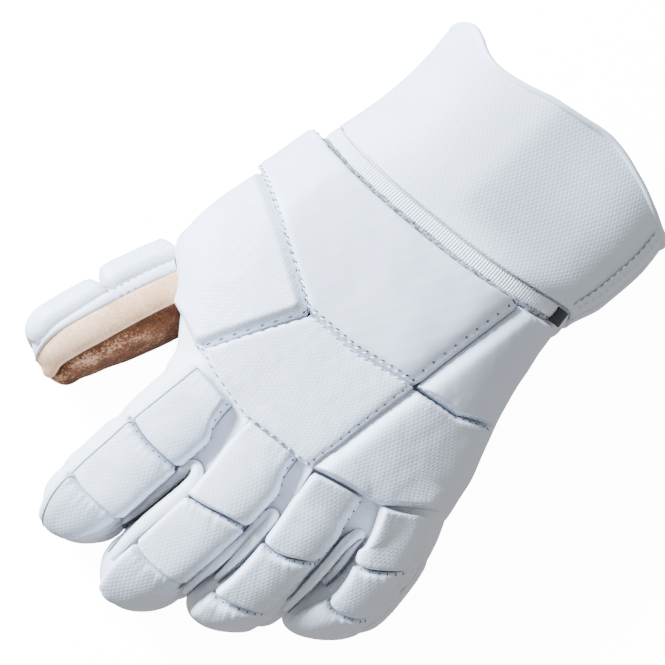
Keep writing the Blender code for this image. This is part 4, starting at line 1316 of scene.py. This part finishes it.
def web_leg(name, q, span, lift):
    """One leg of a loop, from its low end up the side of a finger to the crotch."""
    share = np.linspace(1, 0, 9)
    along = span[0] + (span[1] - span[0]) * share
    points = digit_points(BY_NAME[name], along, back_angle(q, DIGIT_SQUARE), lift)
    points[:, 2] -= WEB_SINK * share ** 3
    return points


def build_webs():
    """Leather loops round the crotches, the black strip of painted shade in the first's gap and the panels
    behind two of them.
    """
    build_dark_gap(BY_NAME["index"], BY_NAME["middle"])
    for web in WEBS:
        left = web_leg(web.first, web.first_q, web.first_span, WEB_LIFT + WEB_MORE)
        right = web_leg(web.second, web.second_q, web.second_span, WEB_LIFT)[::-1]
        a, b = left[-1], right[0]
        turn = np.linspace(0, math.pi, 9)[1:-1]
        arc = ((a + b) / 2 - (b - a) / 2 * np.cos(turn)[:, None]
               + np.sin(turn)[:, None] * np.array([0.0, web.rise, WEB_CROWN]))
        path = smooth_line(np.concatenate([left, arc, right]), 3)
        share = np.linspace(-1, 1, len(path))
        ups = np.stack([-0.45 * np.clip(share * 3, -1, 1), 0 * share, np.ones_like(share)], axis=-1)
        widths = np.interp(share, (-1.0, -0.35, -0.1, 0.1, 0.35, 1.0), np.repeat(web.widths, 2))
        sweep(web.name + "_web", path, ups, widths, WEB_THICK, SOFT, 0.3)
        for side, offset in (("outer", -0.5), ("inner", 0.5)):
            line = path + aside_of(path, ups) * offset * (widths[:, None] + 0.2)
            sweep("%s_web_%s_line" % (web.name, side), line, ups, *WEB_LINE_SIZE, SEAM_SHADE, 0.2)
        build_gusset(web)
        if web.panel:
            build_web_panel(web)


def between(left, right, count):
    """Grid of points on straight lines from one chain of points to another."""
    u = np.linspace(0, 1, count)[None, :, None]
    return left[:, None] * (1 - u) + right[:, None] * u


def build_dark_gap(first, second):
    """Black strip between the two legs of the first loop: painted shade, so that the slit there looks dark.
    """
    v = np.linspace(0, 1, 40)
    left = digit_points(first, 0.49 + 0.32 * v, back_angle(0.96, DIGIT_SQUARE), 2.2)
    right = digit_points(second, 0.49 + 0.28 * v, back_angle(-0.76, DIGIT_SQUARE), 2.2)
    closing = smooth_step(0.35, 1.0, v)[:, None]
    left, right = left + (right - left) * closing * 0.15, right + (left - right) * closing * 0.45
    outer = between(left, right, 6)
    closed_patch("index_middle_dark_gap", outer, outer - np.array([0.0, 0.0, GAP_STRIP_THICK]), SHADE_CLOTH)


def build_folds():
    """Rolled folds of soft leather down the fingers' sides."""
    share = np.linspace(0, 1, 60)
    for number, fold in enumerate(FOLDS):
        digit = BY_NAME[fold.digit]
        along = fold.start + (fold.end - fold.start) * share
        waver = 3.0 * np.sin(share * 9.0 + number)
        angle = fold.first_angle + (fold.last_angle - fold.first_angle) * share + waver
        path = digit_points(digit, along, angle, SIDE_LEATHER + 0.2 - 2.4 * np.abs(2 * share - 1) ** 6)
        ups = unit(path - ring_middle(digit, path))
        name = "%s_fold_%d" % (fold.digit, number)
        sweep(name, path, ups, fold.width, FOLD_THICK, SOFT, 0.1)
        line = path - aside_of(path, ups) * fold.width / 2
        sweep(name + "_line", line, ups, *FOLD_LINE_SIZE, SEAM_LINE, 0.1)


def build_gusset(web):
    """Strip that closes the gap between two fingers, half way down their sides."""
    v = np.linspace(0, 1, 40)
    # The first web's strip is black: painted shade in the slit between the index and middle fingers.
    dark = web.name == "index_middle"
    end = 0.78 if dark else 0.90
    start, other_start = web.first_span[0], web.second_span[0]
    left = digit_points(BY_NAME[web.first], start + (end - start) * v, 8.0, -0.4)
    right = digit_points(BY_NAME[web.second], other_start + (end - 0.04 - other_start) * v, 172.0, -0.4)
    outer = between(left, right, 6)
    material = SHADE_CLOTH if dark else SOFT
    closed_patch(web.name + "_gusset", outer, outer - np.array([0.0, 0.0, GUSSET_THICK]), material)


def build_web_panel(web):
    """Flat leather strip between two fingers' first pads, from the knuckle pads to the loop."""
    near, far = CREASES[web.first][:2], CREASES[web.second][:2]
    v = np.linspace(0, 1, 24)
    left_along = near[0].other_side + (web.first_span[0] - 0.05 - near[0].other_side) * v
    right_along = far[0].thumb_side + (web.second_span[0] - 0.05 - far[0].thumb_side) * v
    left = finger_edge(BY_NAME[web.first], left_along, near, "last_q", 0.03)
    right = finger_edge(BY_NAME[web.second], right_along, far, "first_q", -0.03)
    base = between(left, right, 20)
    u = np.linspace(0, 1, 20)[None, :, None]
    base[..., 2] -= 0.5 * np.sin(np.pi * u[..., 0])
    outer = base + np.array([0, 0, 1.0]) * (2.2 + 3.0 * u * (1 - v[:, None, None] ** 2))
    closed_patch(web.name + "_panel", outer, base - np.array([0, 0, 0.6]), SOFT)


def finger_edge(digit, along, creases, side, beyond):
    share = (along - creases[0].thumb_side) / (creases[1].thumb_side - creases[0].thumb_side)
    q = getattr(creases[0], side) + (getattr(creases[1], side) - getattr(creases[0], side)) * share + beyond
    return over_others(digit_points(digit, along, back_angle(q, DIGIT_SQUARE)), [HAND], FINGER_BLEND)


# Cuff and wrist elastic


def lean_cuff(points, along, angle):
    """The cuff's shape after wear: its back leans to the little finger's side and its thumb side draws in."""
    free = smooth_step(1.0, 0.75, along)
    c, s = np.cos(np.radians(angle)), np.sin(np.radians(angle))
    across = np.maximum(c, 0.0) ** (2 / CUFF_SQUARE)
    points[..., 2] -= CUFF_LEAN * free * across ** 1.3 * (1 - across) ** 0.9 / 0.226 * (s > 0)
    points[..., 0] += CUFF_WAIST * np.sin(np.pi * along) * np.maximum(-c, 0.0) ** 2
    low = np.maximum(np.cos(np.radians(angle + 24.0)), 0.0) ** 4
    points[..., 0] += CUFF_SPREAD * low * smooth_step(1.0, 0.7, along)
    return points


def build_cuff():
    """Open gauntlet with a wall of leather, a rolled lip and two rows of stitches along its hem."""
    rows, columns = 90, 260
    along, angle = np.meshgrid(np.linspace(0, 1, rows), np.linspace(0, 360, columns + 1)[:-1], indexing="ij")
    swell = np.minimum(0.5 * waves(cuff_points(along, angle), 60.0, 5), CUFF_SWELL)
    outer = lean_cuff(cuff_points(along, angle, swell - CUFF_SWELL), along, angle)
    inner = lean_cuff(cuff_points(along, angle, -LEATHER - CUFF_SWELL), along, angle)
    edge = lean_cuff(cuff_points(np.zeros(columns), angle[0], -LEATHER / 2 - 0.3), 0.0, angle[0])
    edge[:, 1] += RIM_ROLL
    points = [edge, outer.reshape(-1, 3), inner.reshape(-1, 3)]
    start_outer, start_inner = columns, columns + rows * columns
    faces = grid_faces(rows, columns, start_outer, wrap=True)
    faces += grid_faces(rows, columns, start_inner, wrap=True, flip=True)
    a, b = start_outer + (rows - 1) * columns, start_inner + (rows - 1) * columns
    for j in range(columns):
        k = (j + 1) % columns
        faces.append((j, k, start_outer + k, start_outer + j))
        faces.append((start_inner + j, start_inner + k, k, j))
        faces.append((a + j, a + k, b + k, b + j))
    cuff = new_piece("cuff_leather", np.concatenate(points), faces, PEBBLED, "cuff")
    lay_grain(cuff, outer, 2)
    around = np.linspace(0, 360, 300)
    rim = lean_cuff(cuff_points(np.full(300, 0.004), around, -LIP_INSET), 0.004, around)
    middle = rim.mean(axis=0)
    sweep("cuff_lip", rim, unit((rim - middle) * (1.0, 0.0, 1.0)), *LIP_SIZE, PEBBLED, 1.0)
    build_cuff_hem(middle)


def build_cuff_hem(middle):
    """Two rows of stitches down the cuff, and the line of its hem under the first."""
    down = np.linspace(0.05, 0.95, 90)
    for number, place in enumerate(HEM_ANGLES):
        place = np.full(90, place)
        line = lean_cuff(cuff_points(down, place, 0.1), down, place)
        places, forward = even_places(line, HEM_PITCH, 0.3 + 0.3 * number)
        out = unit((places - middle) * (1.0, 0.0, 1.0))
        dashes = beads(places, forward, out, np.array(THREAD_DASH), 0.2)
        new_piece("cuff_hem_thread_%d" % number, *dashes, THREADS)
        if number == 0:
            sweep("cuff_hem_line", line, line - middle, *HEM_LINE_SIZE, SEAM_LINE)


def band_points(across, angle, grow):
    y = BAND_Y + BAND_WIDTH * (1 - across) - band_dip(angle)
    points = hand_points((WRIST_Y - y) / HAND_LENGTH, angle, grow)
    points[..., 2] = np.maximum(points[..., 2], 0.0)
    return points


def build_wrist_elastic():
    """Ribbed elastic round the wrist, with a rounded face and fine cords across it."""
    count, profile = 700, 20
    even = even_angles(0, 360, 2000, HAND_SQUARE, 2.0)
    angle = np.interp(np.arange(count) / count, np.linspace(0, 1, 2000), even)
    across, around = np.meshgrid(np.linspace(-BAND_UNDER, 1, profile), angle, indexing="ij")
    rounding = np.where(across > 0.5, np.sin(np.pi * np.clip(across, 0.5, 1.0)) ** 0.6,
                        np.sqrt(np.clip((across + BAND_UNDER) / 0.1, 0.0, 1.0)))
    swell = BAND_THICK * (0.30 + 0.80 * rounding)
    outer = band_points(across, around, GAP + swell)
    inner = band_points(across, around, np.full_like(swell, GAP))
    points = np.concatenate([outer.reshape(-1, 3), inner.reshape(-1, 3)])
    size = count * profile
    faces = grid_faces(profile, count, 0, wrap=True) + grid_faces(profile, count, size, wrap=True, flip=True)
    for row in (0, profile - 1):
        for j in range(count):
            a, b = row * count + j, row * count + (j + 1) % count
            faces.append((a, b, b + size, a + size) if row else (b, a, a + size, b + size))
    band = new_piece("elastic_band", points, faces, WHITE_ELASTIC, "wrist_elastic", "white_elastic")
    lay_grain(band, outer, 2, straight=True)
    build_frayed_shadow_edge()


def build_frayed_shadow_edge():
    """Grey threads along the elastic's edge, on the back of the hand, with near-black between them: painted
    shadow where the pads' edge meets the elastic.
    """
    angle = np.linspace(20.0, 160.0, 300)
    path = band_points(np.full(300, 0.93), angle, GAP + 2.0)
    path[:, 1] += 0.35 * waves(np.stack([angle, 0 * angle, 0 * angle], axis=-1), 6.0, 71)
    ups = np.tile((0.0, -0.3, 0.95), (300, 1))
    sweep("elastic_frayed_shadow_edge", path, ups, *FRAYED_SHADOW_SIZE, FRAYED_SHADOW, 0.3)


def build_elastic_end():
    across, angle = np.meshgrid(np.linspace(0.02, 0.98, 30), np.linspace(-1.0, ELASTIC_END_SPAN + 2.5, 40),
                                indexing="ij")
    low = GAP + BAND_THICK + GAP
    fray = 0.9 * waves(np.stack([across * 8, angle, 0 * angle], axis=-1), 2.2, 81)
    around = ELASTIC_END_ANGLE + angle + fray * (angle > 8.0)
    outer = band_points(across, around, low + ELASTIC_END_THICK + 0 * across)
    inner = band_points(across, around, low + 0 * across)
    closed_patch("elastic_tab", outer, inner, BLACK_ELASTIC, "elastic_end", "black_elastic")


# Camera, lights and floor


def camera_back():
    azimuth, elevation = math.radians(CAMERA_AZIMUTH), math.radians(CAMERA_ELEVATION)
    return np.array([math.sin(azimuth) * math.cos(elevation), -math.cos(azimuth) * math.cos(elevation),
                     math.sin(elevation)])


def aim(obj, target):
    direction = Vector(target) - obj.location
    obj.rotation_euler = direction.to_track_quat("-Z", "Y").to_euler()


def build_camera():
    data = bpy.data.cameras.new("camera")
    data.lens = CAMERA_LENS
    data.sensor_width = CAMERA_SENSOR
    camera = add_object("camera", data)
    target = (np.array(CAMERA_TARGET) + SHIFT) * MM
    camera.location = Vector(target + camera_back() * CAMERA_DISTANCE * MM)
    aim(camera, target)
    bpy.context.scene.camera = camera


def build_key_light():
    data = bpy.data.lights.new("key light", "AREA")
    data.shape = "DISK"
    data.size = KEY_SIZE
    data.energy = KEY_POWER
    data.color = KEY_COLOUR
    lamp = add_object("key light", data)
    lamp.location = KEY_PLACE
    aim(lamp, (0.0, 0.0, 0.04))


def build_stage():
    """Pale floor with a raised rim all round, lit by one large soft lamp and a pale sky."""
    mesh = bpy.data.meshes.new("floor")
    count = 64
    points = [(0.0, 0.0, 0.0)]
    for radius, height in FLOOR_RINGS:
        for k in range(count):
            turn = 2 * math.pi * k / count
            points.append((radius * math.cos(turn), radius * math.sin(turn), height))
    faces = [(0, 1 + k, 1 + (k + 1) % count) for k in range(count)]
    for face in grid_faces(len(FLOOR_RINGS), count, wrap=True, flip=True):
        faces.append(tuple(1 + index for index in face))
    mesh.from_pydata(points, [], faces)
    mesh.shade_smooth()
    floor = add_object("floor", mesh)
    material, _, shader = node_material("pale floor", (0.86, 0.86, 0.87), 0.95)
    shader.inputs["Emission Color"].default_value = (1.0, 1.0, 1.0, 1.0)
    shader.inputs["Emission Strength"].default_value = FLOOR_GLOW
    shader.inputs["Specular IOR Level"].default_value = 0.0
    mesh.materials.append(material)
    floor.visible_diffuse = False
    floor.visible_glossy = False
    build_key_light()
    world = bpy.context.scene.world or bpy.data.worlds.new("studio")
    bpy.context.scene.world = world
    world.use_nodes = True
    background = world.node_tree.nodes["Background"]
    background.inputs["Color"].default_value = SKY_COLOUR
    background.inputs["Strength"].default_value = SKY_STRENGTH


def main():
    build_camera()
    build_stage()
    build_hand_skin()
    build_digit_skins()
    build_hand_pads()
    build_finger_pads()
    build_thumb_pads()
    build_palm()
    build_thumb_suede()
    build_thumb_fold()
    build_webs()
    build_folds()
    build_stitches()
    build_seam_cords()
    build_cuff()
    build_wrist_elastic()
    build_elastic_end()


main()
